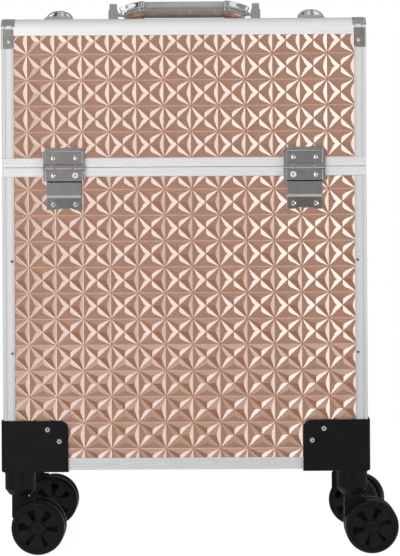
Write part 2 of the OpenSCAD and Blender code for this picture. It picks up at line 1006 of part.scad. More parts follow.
// Collar across the two outer tubes at their top, and the clamp at their foot
module pull_collar() {
    side = 6;
    back = 2;
    w = 2 * tube_x + tube_w + 2 * side;
    face_y = half_d - frame_t;
    d = tube_y + tube_d / 2 + back - face_y;
    bridge_w = 2 * tube_x - tube_w - 2 * side;
    bridge_t = 3.5;
    clamp_up = 4;
    color(black)
        for (z = [tube_top_z - collar_h, tube_foot_z + clamp_up])
            difference() {
                translate([-w / 2, face_y, z]) cube([w, d, collar_h]);
                both_x()
                    translate([tube_x - tube_w / 2, tube_y - tube_d / 2, z - cut])
                        cube([tube_w, tube_d, collar_h + 2 * cut]);
                translate([-bridge_w / 2, face_y + bridge_t, z - cut])
                    cube([bridge_w, d, collar_h + 2 * cut]);
            }
}

module pull_grip() {
    w = 2 * tube_x + tube_w;
    r = pull_grip_d / 2;
    color(black)
        difference() {
            translate([0, tube_y, pull_grip_z])
                linear_extrude(pull_grip_h) {
                    square([w, pull_grip_d], center = true);
                    for (x = [-1, 1])
                        translate([x * w / 2, 0]) circle(r);
                }
            translate([-button_w / 2, tube_y - button_d / 2, pull_top_z - button_deep - button_up])
                cube([button_w, button_d, 2 * pull_grip_h]);
        }
}

module pull_button() {
    w = button_w - 2 * slide_gap;
    d = button_d - 2 * slide_gap;
    proud = 1;
    color(silver)
        translate([-w / 2, tube_y - d / 2, pull_top_z - button_deep])
            cube([w, d, button_deep + proud]);
}

// A tray of the front half; level is 1 for the lower and 2 for the upper one
module tray(level) {
    z = seam_z + tray_low + (level - 1) * tray_step;
    y0 = -half_d + tray_out;
    d = half_d - tray_out - tray_in;
    w = 2 * tray_end;
    hang = [pin_y + level * link[0], seam_z + level * link[1]];
    color(flock) {
        difference() {
            translate([-tray_end, y0, z]) cube([w, d, tray_h]);
            both_x()
                translate([tray_t / 2, y0 + tray_t, z + tray_t])
                    cube([tray_end - 1.5 * tray_t, d - 2 * tray_t, tray_h]);
        }
        both_x() {
            translate([tray_end - tray_t / 2, hang[0], hang[1]])
                rotate([0, 90, 0])
                    cylinder(r = tray_pin_r, h = side_in + trunnion_deep - tray_end + tray_t / 2);
            translate([tray_end - tray_t / 2, hang[0] + arm_foot[0], hang[1] + arm_foot[1]])
                rotate([0, 90, 0])
                    cylinder(r = tray_pin_r, h = side_in - arm_gap - tray_end + tray_t / 2);
        }
    }
}

module front_lower_tray() {
    tray(1);
}

module front_upper_tray() {
    tray(2);
}

module rear_lower_tray() {
    mirror([0, 1, 0]) tray(1);
}

module rear_upper_tray() {
    mirror([0, 1, 0]) tray(2);
}

// The strip arms of the front half, one at each end of its trays
module tray_arms() {
    foot = [pin_y + arm_foot[0], seam_z + arm_foot[1]];
    reach = 2 * norm(link);
    lean = atan2(link[1], link[0]);
    open_fit = 0.4;
    color(chrome)
        both_x()
            difference() {
                translate([tray_end + arm_gap, foot[0], foot[1]])
                    rotate([90, 0, 90]) {
                        linear_extrude(arm_t)
                            rotate(lean) {
                                translate([0, -arm_w / 2]) square([reach, arm_w]);
                                circle(arm_w / 2);
                                translate([reach, 0]) circle(arm_w / 2);
                            }
                        cylinder(r = tray_pin_r, h = arm_t + arm_gap + trunnion_deep);
                    }
                for (k = [1, 2])
                    translate([tray_end - cut, foot[0] + k * link[0], foot[1] + k * link[1]])
                        rotate([0, 90, 0])
                            cylinder(r = tray_pin_r + open_fit, h = arm_t + 2 * arm_gap + cut);
            }
}

module front_tray_arms() {
    tray_arms();
}

module rear_tray_arms() {
    mirror([0, 1, 0]) tray_arms();
}

// Places a caster piece under its corner, turned to the way it trails at rest
module at_corner(i) {
    translate([corner_x[i] * (half_w - stem_in), corner_y[i] * (half_d - stem_in), 0])
        rotate(swivel_rest[i])
            children();
}

module fork(i) {
    boss_r = 9;
    back = -7.6;
    crown_r = 8;
    stem_end = 2;
    color(black)
        at_corner(i) {
            translate([0, 0, crown_z]) cylinder(r = crown_r, h = crown_t);
            translate([0, 0, crown_z]) cylinder(r = stem_r, h = crown_t + turn_gap + housing_h - stem_end);
            difference() {
                rotate([90, 0, 0])
                    translate([0, 0, -fork_t / 2])
                        linear_extrude(fork_t) {
                            polygon([
                                [back, crown_z + cut],
                                [back, axle_z + boss_r],
                                [trail - boss_r * 0.8, axle_z - boss_r * 0.6],
                                [trail + boss_r, axle_z],
                                [trail + boss_r * 0.7, axle_z + 1.6 * boss_r],
                                [housing_r - 2, crown_z + cut]
                            ]);
                            translate([trail, axle_z]) circle(boss_r);
                        }
                translate([trail, fork_t, axle_z])
                    rotate([90, 0, 0])
                        cylinder(r = axle_r, h = 2 * fork_t);
            }
        }
}

module axle(i) {
    half_l = wheel_y + wheel_w - hub_cap_t - turn_gap;
    color(silver)
        at_corner(i)
            translate([trail, half_l, axle_z])
                rotate([90, 0, 0])
                    cylinder(r = axle_r, h = 2 * half_l);
}

// One wheel lying on its inner face, with six openings between hub and rim
module wheel_shape() {
    r = wheel_d / 2;
    bore = axle_r + run_fit;
    hub = 6.2;
    rim = 5;
    soft = 2.2;
    face = 1;
    hub_ring = 2.4;
    rim_ring = 3.2;
    hole_in = hub + hub_ring;
    hole_out = r - rim - rim_ring;
    hole_half_in = 2;
    hole_half_out = 3.2;
    difference() {
        rotate_extrude()
            polygon([
                [bore, 0],
                [r - soft, 0],
                [r, soft],
                [r, wheel_w - soft],
                [r - soft, wheel_w],
                [r - rim, wheel_w],
                [r - rim - face, wheel_w - face],
                [hub + face, wheel_w - face],
                [hub, wheel_w],
                [0, wheel_w],
                [0, wheel_w - hub_cap_t],
                [bore, wheel_w - hub_cap_t]
            ]);
        for (a = [0:60:300])
            rotate(a)
                translate([0, 0, -cut])
                    linear_extrude(wheel_w + 2 * cut)
                        polygon([
                            [hole_in, -hole_half_in],
                            [hole_out, -hole_half_out],
                            [hole_out, hole_half_out],
                            [hole_in, hole_half_in]
                        ]);
    }
}

module outer_wheel(i) {
    color(black)
        at_corner(i)
            translate([trail, -wheel_y, axle_z])
                rotate([90, 0, 0])
                    wheel_shape();
}

module inner_wheel(i) {
    color(black)
        at_corner(i)
            translate([trail, wheel_y, axle_z])
                rotate([-90, 0, 0])
                    wheel_shape();
}

base_frame();
base_front_panel();
base_rear_panel();
base_side_panels();
base_floor_panel();
base_floor_liner();
base_rivets();
corner_brackets();
hinge_base_leaves();
hinge_pins();
front_lid_frame();
front_lid_panel();
front_lid_top();
front_lid_sides();
front_lid_caps();
front_lid_leaves();
front_lid_rivets();
rear_lid_frame();
rear_lid_panel();
rear_lid_top();
rear_lid_sides();
rear_lid_caps();
rear_lid_leaves();
rear_lid_rivets();
handle_posts();
handle_grip();
handle_ferrules();
latch_bases();
latch_strikes();
left_latch_lever();
right_latch_lever();
pull_outer_tubes();
pull_collar();
pull_first_tubes();
pull_second_tubes();
pull_third_tubes();
pull_grip();
pull_button();
front_lower_tray();
front_upper_tray();
rear_lower_tray();
rear_upper_tray();
front_tray_arms();
rear_tray_arms();
for (i = [0:3]) fork(i);
for (i = [0:3]) axle(i);
for (i = [0:3]) outer_wheel(i);
for (i = [0:3]) inner_wheel(i);
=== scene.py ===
# %% [markdown]
# # A rolling makeup case
# The case is a set of boards in an aluminium frame, on four twin-wheel casters. Its boards are covered with
# a rose film that is pressed into stars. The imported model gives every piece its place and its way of
# moving, so this script loads it first and then dresses it. All new pieces are drawn in millimetres and
# become metres at the end.

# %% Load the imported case
import json
import math

import bmesh
import bpy
from mathutils import Matrix, Vector


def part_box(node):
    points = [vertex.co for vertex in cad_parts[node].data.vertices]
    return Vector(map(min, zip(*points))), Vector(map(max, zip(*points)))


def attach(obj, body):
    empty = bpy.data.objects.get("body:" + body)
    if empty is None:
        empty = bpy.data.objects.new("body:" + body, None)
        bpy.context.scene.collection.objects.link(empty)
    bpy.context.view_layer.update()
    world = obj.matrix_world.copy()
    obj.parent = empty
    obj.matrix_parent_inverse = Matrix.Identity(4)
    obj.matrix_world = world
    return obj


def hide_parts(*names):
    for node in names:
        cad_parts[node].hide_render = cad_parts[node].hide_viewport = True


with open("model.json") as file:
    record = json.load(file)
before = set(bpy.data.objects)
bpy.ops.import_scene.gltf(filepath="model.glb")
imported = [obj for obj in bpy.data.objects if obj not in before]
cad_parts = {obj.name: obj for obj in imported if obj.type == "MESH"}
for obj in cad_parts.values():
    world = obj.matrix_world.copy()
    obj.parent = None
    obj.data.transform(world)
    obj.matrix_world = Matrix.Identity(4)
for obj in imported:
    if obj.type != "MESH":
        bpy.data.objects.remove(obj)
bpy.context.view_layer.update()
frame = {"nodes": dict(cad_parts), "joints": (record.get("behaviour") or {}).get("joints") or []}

# %% [markdown]
# ## Sizes
# The outer sizes are read from the loaded frame, so a new pack moves every piece along. Wall and profile
# sizes are the ones that the aluminium sections really have.

# %% Sizes of the case
MM = 0.001


def box_mm(node):
    low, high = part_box(node)
    return low / MM, high / MM


def joint_mm(name):
    joint = next(joint for joint in frame["joints"] if joint["name"] == name)
    return Vector(joint["pos_m"]) / MM, Vector(joint["axis"])


base_low, base_high = box_mm("base_frame")
lid_low, lid_high = box_mm("front_lid_frame")
board_low, board_high = box_mm("base_front_panel")
half_w = base_high.x
half_d = base_high.y
base_z = base_low.z
base_top = base_high.z
lid_z = lid_low.z
top_z = lid_high.z
seam_z = (base_top + lid_z) / 2
split = -lid_high.y
frame_t = half_d + board_low.y
wall_t = half_d + board_high.y
post_leg = 11.3
seam_rail_h = 8.5
bottom_leg = 11.0
top_leg = 16.0
top_r = 10.0
edge_r = 2.5
cap_len = 30.0
cap_leg = 28.2
print("case", 2 * half_w, 2 * half_d, "seam at", seam_z, "top at", top_z)

# %% [markdown]
# ## Small modelling tools
# Nearly every piece here is sawn, turned or pressed, and bmesh has an operator for each: a bar is an
# outline pushed along a line, a rivet is a profile spun about its axis, a sheet corner is a box that loses
# three sides. Each tool below returns a small bmesh, and stamp() copies it to all the places where the case
# has that piece.

# %% Places and turns
MIRROR_X = Matrix.Scale(-1, 4, (1, 0, 0))
MIRROR_Y = Matrix.Scale(-1, 4, (0, 1, 0))
SAME = Matrix.Identity(4)
FOUR_CORNERS = (SAME, MIRROR_X, MIRROR_Y, MIRROR_X @ MIRROR_Y)
LEFT_RIGHT = (SAME, MIRROR_X)
LIDS = {"front_lid": SAME, "rear_lid": MIRROR_Y}


def turn_about(axis, degrees):
    return Matrix.Rotation(math.radians(degrees), 4, axis)


def at_corners(*places):
    """The same places at all four corners of the case."""
    return [turn @ place for turn in FOUR_CORNERS for place in places]


STAND_UP = turn_about("X", 90)
TO_X = turn_about("Y", 90)
print("a piece goes to", len(FOUR_CORNERS), "corners or", len(LIDS), "lids")

# %% Tools that make shapes
VERT, EDGE = bmesh.types.BMVert, bmesh.types.BMEdge
MERGE = 0.002
NEAR = 0.01


def tidy(bm):
    """Merges doubles and turns the faces of each closed shape outwards."""
    bmesh.ops.remove_doubles(bm, verts=bm.verts[:], dist=MERGE)
    bmesh.ops.recalc_face_normals(bm, faces=bm.faces[:])
    return bm


def only(kind, geometry):
    """The vertices or the edges among what an operator gives back."""
    return [item for item in geometry if isinstance(item, kind)]


def bar(outline, push):
    """A closed bar: a flat outline pushed along a vector."""
    bm = bmesh.new()
    face = bm.faces.new([bm.verts.new(corner) for corner in outline])
    far = only(VERT, bmesh.ops.extrude_face_region(bm, geom=[face])["geom"])
    bmesh.ops.translate(bm, vec=push, verts=far)
    return tidy(bm)


def bar_across(side_view, half):
    """A bar that runs across the case, from the (y, z) corners of its side view."""
    return bar([(-half, y, z) for y, z in side_view], (2 * half, 0, 0))


def block(low, high):
    """A box between two corners."""
    bm = bmesh.new()
    low, high = Vector(low), Vector(high)
    bmesh.ops.create_cube(bm, size=1)
    bmesh.ops.scale(bm, vec=high - low, verts=bm.verts[:])
    bmesh.ops.translate(bm, vec=(low + high) / 2, verts=bm.verts[:])
    return bm


def turned(profile, steps, closed=False):
    """A round piece on the Z axis, from the (radius, height) points of its profile."""
    bm = bmesh.new()
    verts = [bm.verts.new((radius, 0, height)) for radius, height in profile]
    ends = verts[1:] + (verts[:1] if closed else [])
    edges = [bm.edges.new(pair) for pair in zip(verts, ends)]
    bmesh.ops.spin(bm, geom=verts + edges, cent=(0, 0, 0), axis=(0, 0, 1), angle=math.tau, steps=steps,
                   use_merge=True)
    return tidy(bm)


# %% Tools that pick and round edges
def lies_at(vert, places):
    return all(abs(getattr(vert.co, axis) - place) < NEAR for axis, place in places.items())


def verts_at(bm, **places):
    """The vertices at the given x, y or z."""
    return [vert for vert in bm.verts if lies_at(vert, places)]


def edges_at(bm, **places):
    """The edges whose two ends both lie at the given x, y or z."""
    return [edge for edge in bm.edges if all(lies_at(vert, places) for vert in edge.verts)]


def faces_at(bm, **places):
    """The faces whose corners all lie at the given x, y or z."""
    return [face for face in bm.faces if all(lies_at(vert, places) for vert in face.verts)]


def boundary(bm):
    return [edge for edge in bm.edges if edge.is_boundary]


def bevel(bm, parts, affect, width, segments):
    bmesh.ops.bevel(bm, geom=parts, affect=affect, offset=width, offset_type="OFFSET", segments=segments,
                    profile=0.5, material=-1, clamp_overlap=True)
    return bm


def round_edges(bm, edges, width, segments):
    return bevel(bm, edges, "EDGES", width, segments)


def round_corners(bm, verts, width, segments):
    return bevel(bm, verts, "VERTICES", width, segments)


def soften(bm, width, segments=2, least=40):
    """Rounds every edge that turns by more than the least angle."""
    sharp = [edge for edge in bm.edges
             if edge.is_manifold and edge.calc_face_angle() > math.radians(least)]
    return round_edges(bm, sharp, width, segments)


# %% Tools that cut and copy
def everything(bm):
    return bm.verts[:] + bm.edges[:] + bm.faces[:]


def slice_at(bm, **places):
    """Adds a line of edges right round a shape at an x, y or z."""
    for axis, place in places.items():
        normal = Vector([axis == name for name in "xyz"])
        bmesh.ops.bisect_plane(bm, geom=everything(bm), plane_co=normal * place, plane_no=normal)


def cut_off(bm, place, normal):
    """Takes away what lies beyond a plane and gives the edges of the cut."""
    cut = bmesh.ops.bisect_plane(bm, geom=everything(bm), plane_co=place, plane_no=normal, clear_outer=True)
    return only(EDGE, cut["geom_cut"])


def fill(bm, edges):
    bmesh.ops.holes_fill(bm, edges=edges, sides=0)


def stamp(whole, shape, places=(SAME,)):
    """Copies a shape into a larger bmesh, once for each place."""
    for place in places:
        copy = bpy.data.meshes.new("copy")
        shape.to_mesh(copy)
        copy.transform(place)
        if place.determinant() < 0:
            copy.flip_normals()
        whole.from_mesh(copy)
        bpy.data.meshes.remove(copy)
    return whole


def copies(shape, places):
    return stamp(bmesh.new(), shape, places)


def gather(*shapes):
    whole = bmesh.new()
    for shape in shapes:
        stamp(whole, shape)
    return whole


# %% Tools that finish a piece
def flat_first(piece):
    """Lets large faces set the normals, so that flat sheet stays flat up to its rounded edges."""
    normals = piece.modifiers.new("flat_first", "WEIGHTED_NORMAL")
    normals.keep_sharp = True


def finish_piece(name, bm, body, material, stands_for=(), smooth=35, second=None):
    """Makes an object in metres, gives it its finish and lets it ride on its body."""
    bmesh.ops.scale(bm, vec=(MM, MM, MM), verts=bm.verts[:])
    mesh = bpy.data.meshes.new(name)
    bm.to_mesh(mesh)
    bm.free()
    mesh.shade_smooth()
    mesh.set_sharp_from_angle(angle=math.radians(smooth))
    mesh.materials.append(material)
    if second:
        mesh.materials.append(second)
    piece = bpy.data.objects.new(name, mesh)
    bpy.context.scene.collection.objects.link(piece)
    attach(piece, body)
    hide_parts(*stands_for)
    flat_first(piece)
    print("made", name, "with", len(mesh.polygons), "faces")


# %% [markdown]
# ## Finishes
# Every finish starts from one Principled shader. What is the same all over is set on the shader, and what
# varies comes from noise on the object's own coordinates, so that a piece keeps its grain when it moves.
# Noise that is stretched along one direction makes the drawing lines of extruded aluminium.

# %% Tools that make nodes
def socket_name(word):
    return word.replace("_", " ").title().replace("Ior", "IOR")


def add_node(tree, kind, **inputs):
    """A new node whose named inputs each take a link or a value."""
    node = tree.nodes.new("ShaderNode" + kind)
    for word, given in inputs.items():
        socket = node.inputs[socket_name(word)]
        if isinstance(given, bpy.types.NodeSocket):
            tree.links.new(given, socket)
        else:
            socket.default_value = given
    return node


def ramp(tree, factor, stops):
    """Colours that follow a number through (place, colour) stops."""
    node = add_node(tree, "ValToRGB", fac=factor)
    marks = node.color_ramp.elements
    marks[0].position = stops[0][0]
    marks[1].position = stops[-1][0]
    for place, _ in stops[1:-1]:
        marks.new(place)
    for mark, (_, color) in zip(marks, stops):
        mark.color = (*color, 1)
    return node.outputs["Color"]


# %% Tools that make finishes
GRAIN_LOW, GRAIN_HIGH = 0.3, 0.7


def new_finish(name, color, **sockets):
    """A material with one Principled shader, whose sockets get what holds all over."""
    material = bpy.data.materials.new(name)
    material.use_nodes = True
    shader = material.node_tree.nodes["Principled BSDF"]
    shader.inputs["Base Color"].default_value = (*color, 1)
    for word, value in sockets.items():
        shader.inputs[socket_name(word)].default_value = value
    return material


def feed(material, output, socket):
    tree = material.node_tree
    tree.links.new(output, tree.nodes["Principled BSDF"].inputs[socket])


def grain(material, size, detail=3.0, stretch=(1, 1, 1)):
    """Noise with features of about the given size in millimetres; stretch lengthens them along an axis."""
    tree = material.node_tree
    place = add_node(tree, "TexCoord").outputs["Object"]
    scale = [1 / (MM * size * length) for length in stretch]
    scaled = add_node(tree, "Mapping", vector=place, scale=scale).outputs["Vector"]
    return add_node(tree, "TexNoise", vector=scaled, scale=1, detail=detail).outputs["Fac"]


def vary(material, socket, factor, low, high):
    """Lets a number of the shader follow a grain, from low to high."""
    spread = add_node(material.node_tree, "MapRange", value=factor, from_min=GRAIN_LOW, from_max=GRAIN_HIGH,
                      to_min=low, to_max=high)
    feed(material, spread.outputs["Result"], socket)


def tint(material, factor, dark, light):
    """Lets the base colour run from dark to light with a grain."""
    color = ramp(material.node_tree, factor, ((GRAIN_LOW, dark), (GRAIN_HIGH, light)))
    feed(material, color, "Base Color")


def emboss(material, factor, height, strength):
    """Bumps the surface with a grain, height in millimetres; a second call adds to the first."""
    tree = material.node_tree
    bump = add_node(tree, "Bump", strength=strength, distance=height * MM, height=factor)
    before = tree.nodes["Principled BSDF"].inputs["Normal"].links
    if before:
        tree.links.new(before[0].from_socket, bump.inputs["Normal"])
    feed(material, bump.outputs["Normal"], "Normal")


# %% [markdown]
# ### Rose film
# The film is a thin metal layer under clear lacquer. The metal gives the brown and pink of the facets, and
# the lacquer gives the pale, almost white gloss of those that face the light. The crests of the level
# ridges get a paler film: a painted highlight along each crest.

# %% Rose film
def rose_film(name, dark, light):
    film = new_finish(name, light, metallic=0.75, roughness=0.6, coat_weight=1.0, coat_roughness=0.12,
                      coat_ior=2.8)
    tint(film, grain(film, 14, detail=2), dark, light)
    vary(film, "Roughness", grain(film, 3), 0.56, 0.66)
    emboss(film, grain(film, 0.7), 0.02, 0.35)
    emboss(film, grain(film, 6), 0.10, 0.25)
    return film


rose = rose_film("rose_film", (0.50, 0.233, 0.126), (0.555, 0.26, 0.146))
# A paler copy of the film for the crests of the level ridges: a painted highlight.
rose_painted_crest_highlight = rose_film("rose_painted_crest_highlight", (0.78, 0.46, 0.32), (0.86, 0.54, 0.39))
print("finishes", rose.name, rose_painted_crest_highlight.name)


# %% [markdown]
# ### Metals
# The frame is anodised aluminium, drawn through a die, so its grain runs along each profile: the rails, the
# posts and the top edges each have their own direction. Each also has its own brightness, which is painted
# light and shade: the top rail is lightest, the posts and side rails darkest. Rivets are aluminium too,
# without a direction, in three brightnesses: the near-white copy paints a highlight on the hinge ring
# rivets and the near-black copy paints shade on the post dots.
# Chrome is nearly a mirror with a faint ripple, and the caps and the grip are plated softer. The hinges are
# nickel plated sheet, a darker grey.

# %% Aluminium, chrome, nickel and steel
ALONG = 2000
EVEN = (1, 1, 1)


def drawn_aluminium(name, stretch, bright=0.78):
    metal = new_finish(name, (bright, bright, bright), metallic=0.25, roughness=0.36)
    dark, light = [(share * bright,) * 3 for share in (0.975, 1.025)]
    tint(metal, grain(metal, 3.4, detail=0, stretch=stretch), dark, light)
    vary(metal, "Roughness", grain(metal, 5, detail=0, stretch=stretch), 0.34, 0.42)
    emboss(metal, grain(metal, 2.2, detail=0, stretch=stretch), 0.02, 0.1)
    return metal


def plated(name, color, low, high, ripple, size, metallic=1.0):
    metal = new_finish(name, color, metallic=metallic, roughness=low)
    tint(metal, grain(metal, 9), [0.93 * part for part in color], [min(1.0, 1.05 * part) for part in color])
    vary(metal, "Roughness", grain(metal, size), low, high)
    emboss(metal, grain(metal, size), ripple, 0.4)
    return metal


# The brightness of each copy is painted light and shade: the top rail is set lightest, the posts darkest.
aluminium_flat = drawn_aluminium("aluminium_rails", (ALONG, ALONG, 1), 0.86)
aluminium_up = drawn_aluminium("aluminium_posts", (1, 1, ALONG), 0.76)
aluminium_wide = drawn_aluminium("aluminium_top_rail", (ALONG, 1, 1), 0.92)
aluminium_deep = drawn_aluminium("aluminium_side_rails", (1, ALONG, 1))
chrome = plated("chrome", (0.80, 0.80, 0.80), 0.05, 0.11, 0.03, 4)
nickel = plated("nickel", (0.53, 0.51, 0.495), 0.14, 0.22, 0.015, 0.8)
cap_metal = plated("cap_metal", (0.60, 0.595, 0.57), 0.12, 0.20, 0.02, 1.2)
steel = plated("steel", (0.52, 0.52, 0.53), 0.26, 0.38, 0.02, 0.6)
satin_grip = plated("satin_grip", (0.50, 0.505, 0.505), 0.05, 0.08, 0.03, 2, metallic=0.5)
# A near-black finish that paints shade into the groove under the lower hinge leaf.
painted_groove_shade = plated("painted_groove_shade", (0.05, 0.05, 0.05), 0.4, 0.5, 0.02, 1)
# Rivet copies of one aluminium: the near-white one paints a highlight on the hinge ring rivets, the
# near-black one paints shade on the post dots.
rivet_painted_highlight = drawn_aluminium("rivet_painted_highlight", EVEN, 0.95)
rivet_grey = drawn_aluminium("rivet_grey", EVEN, 0.6)
rivet_painted_shade = drawn_aluminium("rivet_painted_shade", EVEN, 0.16)
print("finishes", chrome.name, nickel.name, steel.name, satin_grip.name)


# %% [markdown]
# ### Plastic, flock and lining
# The brackets are moulded with a fine spark-eroded grain. The wheels are harder and a little glossier, and
# pick up dust. The trays are flocked: short fibres, so a soft sheen and no gloss. The boards are lined with
# black cloth.

# %% Plastic, flock and lining
def moulded(name, dark, light, low, high, grain_size, grain_height):
    plastic = new_finish(name, light, roughness=low, specular_ior_level=0.12)
    tint(plastic, grain(plastic, 18), dark, light)
    vary(plastic, "Roughness", grain(plastic, 7), low, high)
    emboss(plastic, grain(plastic, grain_size, detail=1), grain_height, 0.5)
    return plastic


def fabric(name, dark, light, fibre, sheen):
    cloth = new_finish(name, light, roughness=0.92, sheen_weight=sheen, sheen_roughness=0.5)
    tint(cloth, grain(cloth, fibre * 3), dark, light)
    emboss(cloth, grain(cloth, fibre), 0.25, 0.7)
    return cloth


black_plastic = moulded("black_plastic", (0.0066, 0.0066, 0.0068), (0.0098, 0.0098, 0.01),
                        0.46, 0.58, 0.55, 0.05)
wheel_plastic = moulded("wheel_plastic", (0.009, 0.009, 0.009), (0.0148, 0.0146, 0.0143),
                        0.34, 0.46, 0.9, 0.03)
# Near-black finish for the pocket walls and floors: painted shade.
painted_pocket_shade = moulded("painted_pocket_shade", (0.0012, 0.0012, 0.0012), (0.002, 0.002, 0.002), 0.7, 0.8, 0.9, 0.03)
flock = fabric("flock", (0.012, 0.011, 0.012), (0.026, 0.024, 0.026), 0.35, 0.35)
lining = fabric("lining", (0.010, 0.010, 0.010), (0.018, 0.018, 0.018), 0.6, 0.15)
print("finishes", black_plastic.name, wheel_plastic.name, flock.name, lining.name)

# %% [markdown]
# ## Star film on the boards
# The pressed pattern is a lattice of stars. Seen as a mesh it is very regular: take a grid with a star on
# every corner, poke each cell to get its middle point, then poke each of those triangles and sink the new
# point. The corner, the middle and the lines between them stay high, and twelve facets fall away to four
# low points. The press is not quite even: three of the four low points lie nearer to the middle of the
# cell. The ridges get a narrow rounding, because film can't be folded sharp. Then the sheet is cut to the
# opening that the frame leaves, and its edge is turned down to the board.

# %% Star lattice
star_pitch = Vector((25.45, 24.15))
star_relief = 1.3
star_ridge = 0.4
# Share of the ridge rounding that gets the painted crest highlight.
crest_share = 0.9
low_point_shift = {(1, 0): 1.7, (-1, 0): 0.2, (0, 1): 1.6, (0, -1): 1.6}
film_back = frame_t - 0.02
film_face = 0.1
film_gap = 0.05


def past_star(point, star):
    """How far a point lies past the star before it, both ways, as shares of the pitch."""
    return [(point[i] - star[i]) / star_pitch[i] % 1 for i in (0, 1)]


def star_side(point, star):
    """Side of the nearest star line on which a low point lies: right, left, above or below."""
    across, along = past_star(point, star)
    if abs(along - 0.5) < 0.1:
        return (1, 0) if across < 0.5 else (-1, 0)
    return (0, 1) if along < 0.5 else (0, -1)


def gets_crest_highlight(point, star):
    """One on the narrow crest of a level ridge, between its two stars, where the paler film paints a
    highlight.
    """
    across, along = past_star(point, star)
    return int(min(along, 1 - along) < crest_share * star_ridge / star_pitch[1] and 0.1 < across < 0.9)


print("a star every", star_pitch[:], "mm")


# %% Star sheet
def star_grid(low, high, star):
    """A flat grid that covers two corners, with a star at each of its points."""
    bm = bmesh.new()
    first = [star[i] - star_pitch[i] * math.ceil((star[i] - low[i]) / star_pitch[i]) for i in (0, 1)]
    cells = [math.ceil((high[i] - first[i]) / star_pitch[i]) for i in (0, 1)]
    bmesh.ops.create_grid(bm, x_segments=cells[0], y_segments=cells[1], size=0.5)
    size = Vector((cells[0] * star_pitch[0], cells[1] * star_pitch[1], 1))
    bmesh.ops.scale(bm, vec=size, verts=bm.verts[:])
    bmesh.ops.translate(bm, vec=(first[0] + size.x / 2, first[1] + size.y / 2, 0), verts=bm.verts[:])
    return bm


def star_sheet(across, along, star):
    """A pressed sheet in the XY plane over two spans, with its ridges at z = 0 and one star at a point."""
    low, high = zip(across, along)
    bm = star_grid(low, high, star)
    bmesh.ops.poke(bm, faces=bm.faces[:])
    lows = bmesh.ops.poke(bm, faces=bm.faces[:], offset=-star_relief, center_mode="MEAN")["verts"]
    for (u, v), shift in low_point_shift.items():
        group = [vert for vert in lows if star_side(vert.co, star) == (u, v)]
        bmesh.ops.translate(bm, vec=(u * shift, v * shift, 0), verts=group)
    ridges = [edge for edge in edges_at(bm, z=0) if edge.is_manifold]
    round_edges(bm, ridges, star_ridge, 2)
    # Faces on the crest of a level ridge take the paler film as a painted highlight.
    for face in bm.faces:
        face.material_index = gets_crest_highlight(face.calc_center_median(), star)
    for normal in ((-1, 0, 0), (1, 0, 0), (0, -1, 0), (0, 1, 0)):
        cut_off(bm, (*(low if min(normal) < 0 else high), 0), normal)
    foot = only(VERT, bmesh.ops.extrude_edge_only(bm, edges=boundary(bm))["geom"])
    bmesh.ops.scale(bm, vec=(1, 1, 0), verts=foot)
    bmesh.ops.translate(bm, vec=(0, 0, film_face - film_back), verts=foot)
    fill(bm, boundary(bm))
    return tidy(bm)


# %% [markdown]
# The openings follow from the frame: between the posts across, and between the rails up and down. A sheet
# is drawn flat, so it is stood up and turned to its wall: 0 degrees is the front, 90 the right side, 180
# the rear and 270 the left side.

# %% Star film on the base
open_w = half_w - post_leg - film_gap
open_d = half_d - post_leg - film_gap
wide, deep = (-open_w, open_w), (-open_d, open_d)
base_v = (base_z + bottom_leg + film_gap, base_top - seam_rail_h - film_gap)
base_star = (7.4, base_top - 20.6)


def on_wall(turn, reach):
    return turn_about("Z", turn) @ Matrix.Translation((0, film_face - reach, 0)) @ STAND_UP


def film_piece(name, bm, body):
    # The second finish is the paler film that paints a highlight on the crests.
    finish_piece(name, bm, body, rose, smooth=3, second=rose_painted_crest_highlight)


base_wide = star_sheet(wide, base_v, base_star)
base_deep = star_sheet(deep, base_v, base_star)
for wall, turn in (("front", 0), ("rear", 180)):
    film_piece(f"base_{wall}_film", copies(base_wide, [on_wall(turn, half_d)]), "base")
film_piece("base_side_films", copies(base_deep, [on_wall(turn, half_w) for turn in (90, 270)]), "base")

# %% Star film on the two half lids
lid_v = (lid_z + seam_rail_h + film_gap, top_z - top_leg - film_gap)
side_v = (lid_v[0], top_z - post_leg - film_gap)
side_u = (-half_d + post_leg + film_gap, -split - post_leg - film_gap)
top_v = (-half_d + top_leg + film_gap, -split - post_leg - film_gap)
lid_star = (6.6, lid_z + 32.7)
lid_wide = star_sheet(wide, lid_v, lid_star)
lid_right = star_sheet(side_u, side_v, lid_star)
lid_left = star_sheet((-side_u[1], -side_u[0]), side_v, lid_star)
lid_top = star_sheet(wide, top_v, lid_star)
top_place = Matrix.Translation((0, 0, top_z - film_face))
for lid, turn in (("front_lid", 0), ("rear_lid", 180)):
    facing = turn_about("Z", turn)
    film_piece(lid + "_film", copies(lid_wide, [on_wall(turn, half_d)]), lid)
    film_piece(lid + "_top_film", copies(lid_top, [facing @ top_place]), lid)
    sides = copies(lid_right, [facing @ on_wall(90, half_w)])
    stamp(sides, lid_left, [facing @ on_wall(270, half_w)])
    film_piece(lid + "_side_films", sides, lid)

# %% [markdown]
# ## Aluminium frame
# The rails that run round the case have one section all the way: a ribbed face outside and a lip that
# covers the edge of the board. Such a ring is a stack of rounded rectangles, one for each corner of the
# section, with neighbours bridged. A rectangle gets its round corners from a vertex bevel.

# %% Ribbed sections
rib_half = 0.7
rib_floor = 0.3
rib_deep = 0.7
lip_r = 0.3
corner_steps = 5


def ribbed_face(height, grooves):
    """Points of (along, depth) across a drawn face, with a groove at each of the given heights."""
    points = [(0, lip_r), (lip_r, 0)]
    for place in grooves:
        points += [(place - rib_half, 0), (place - rib_floor, rib_deep)]
        points += [(place + rib_floor, rib_deep), (place + rib_half, 0)]
    return points + [(height - lip_r, 0), (height, lip_r)]


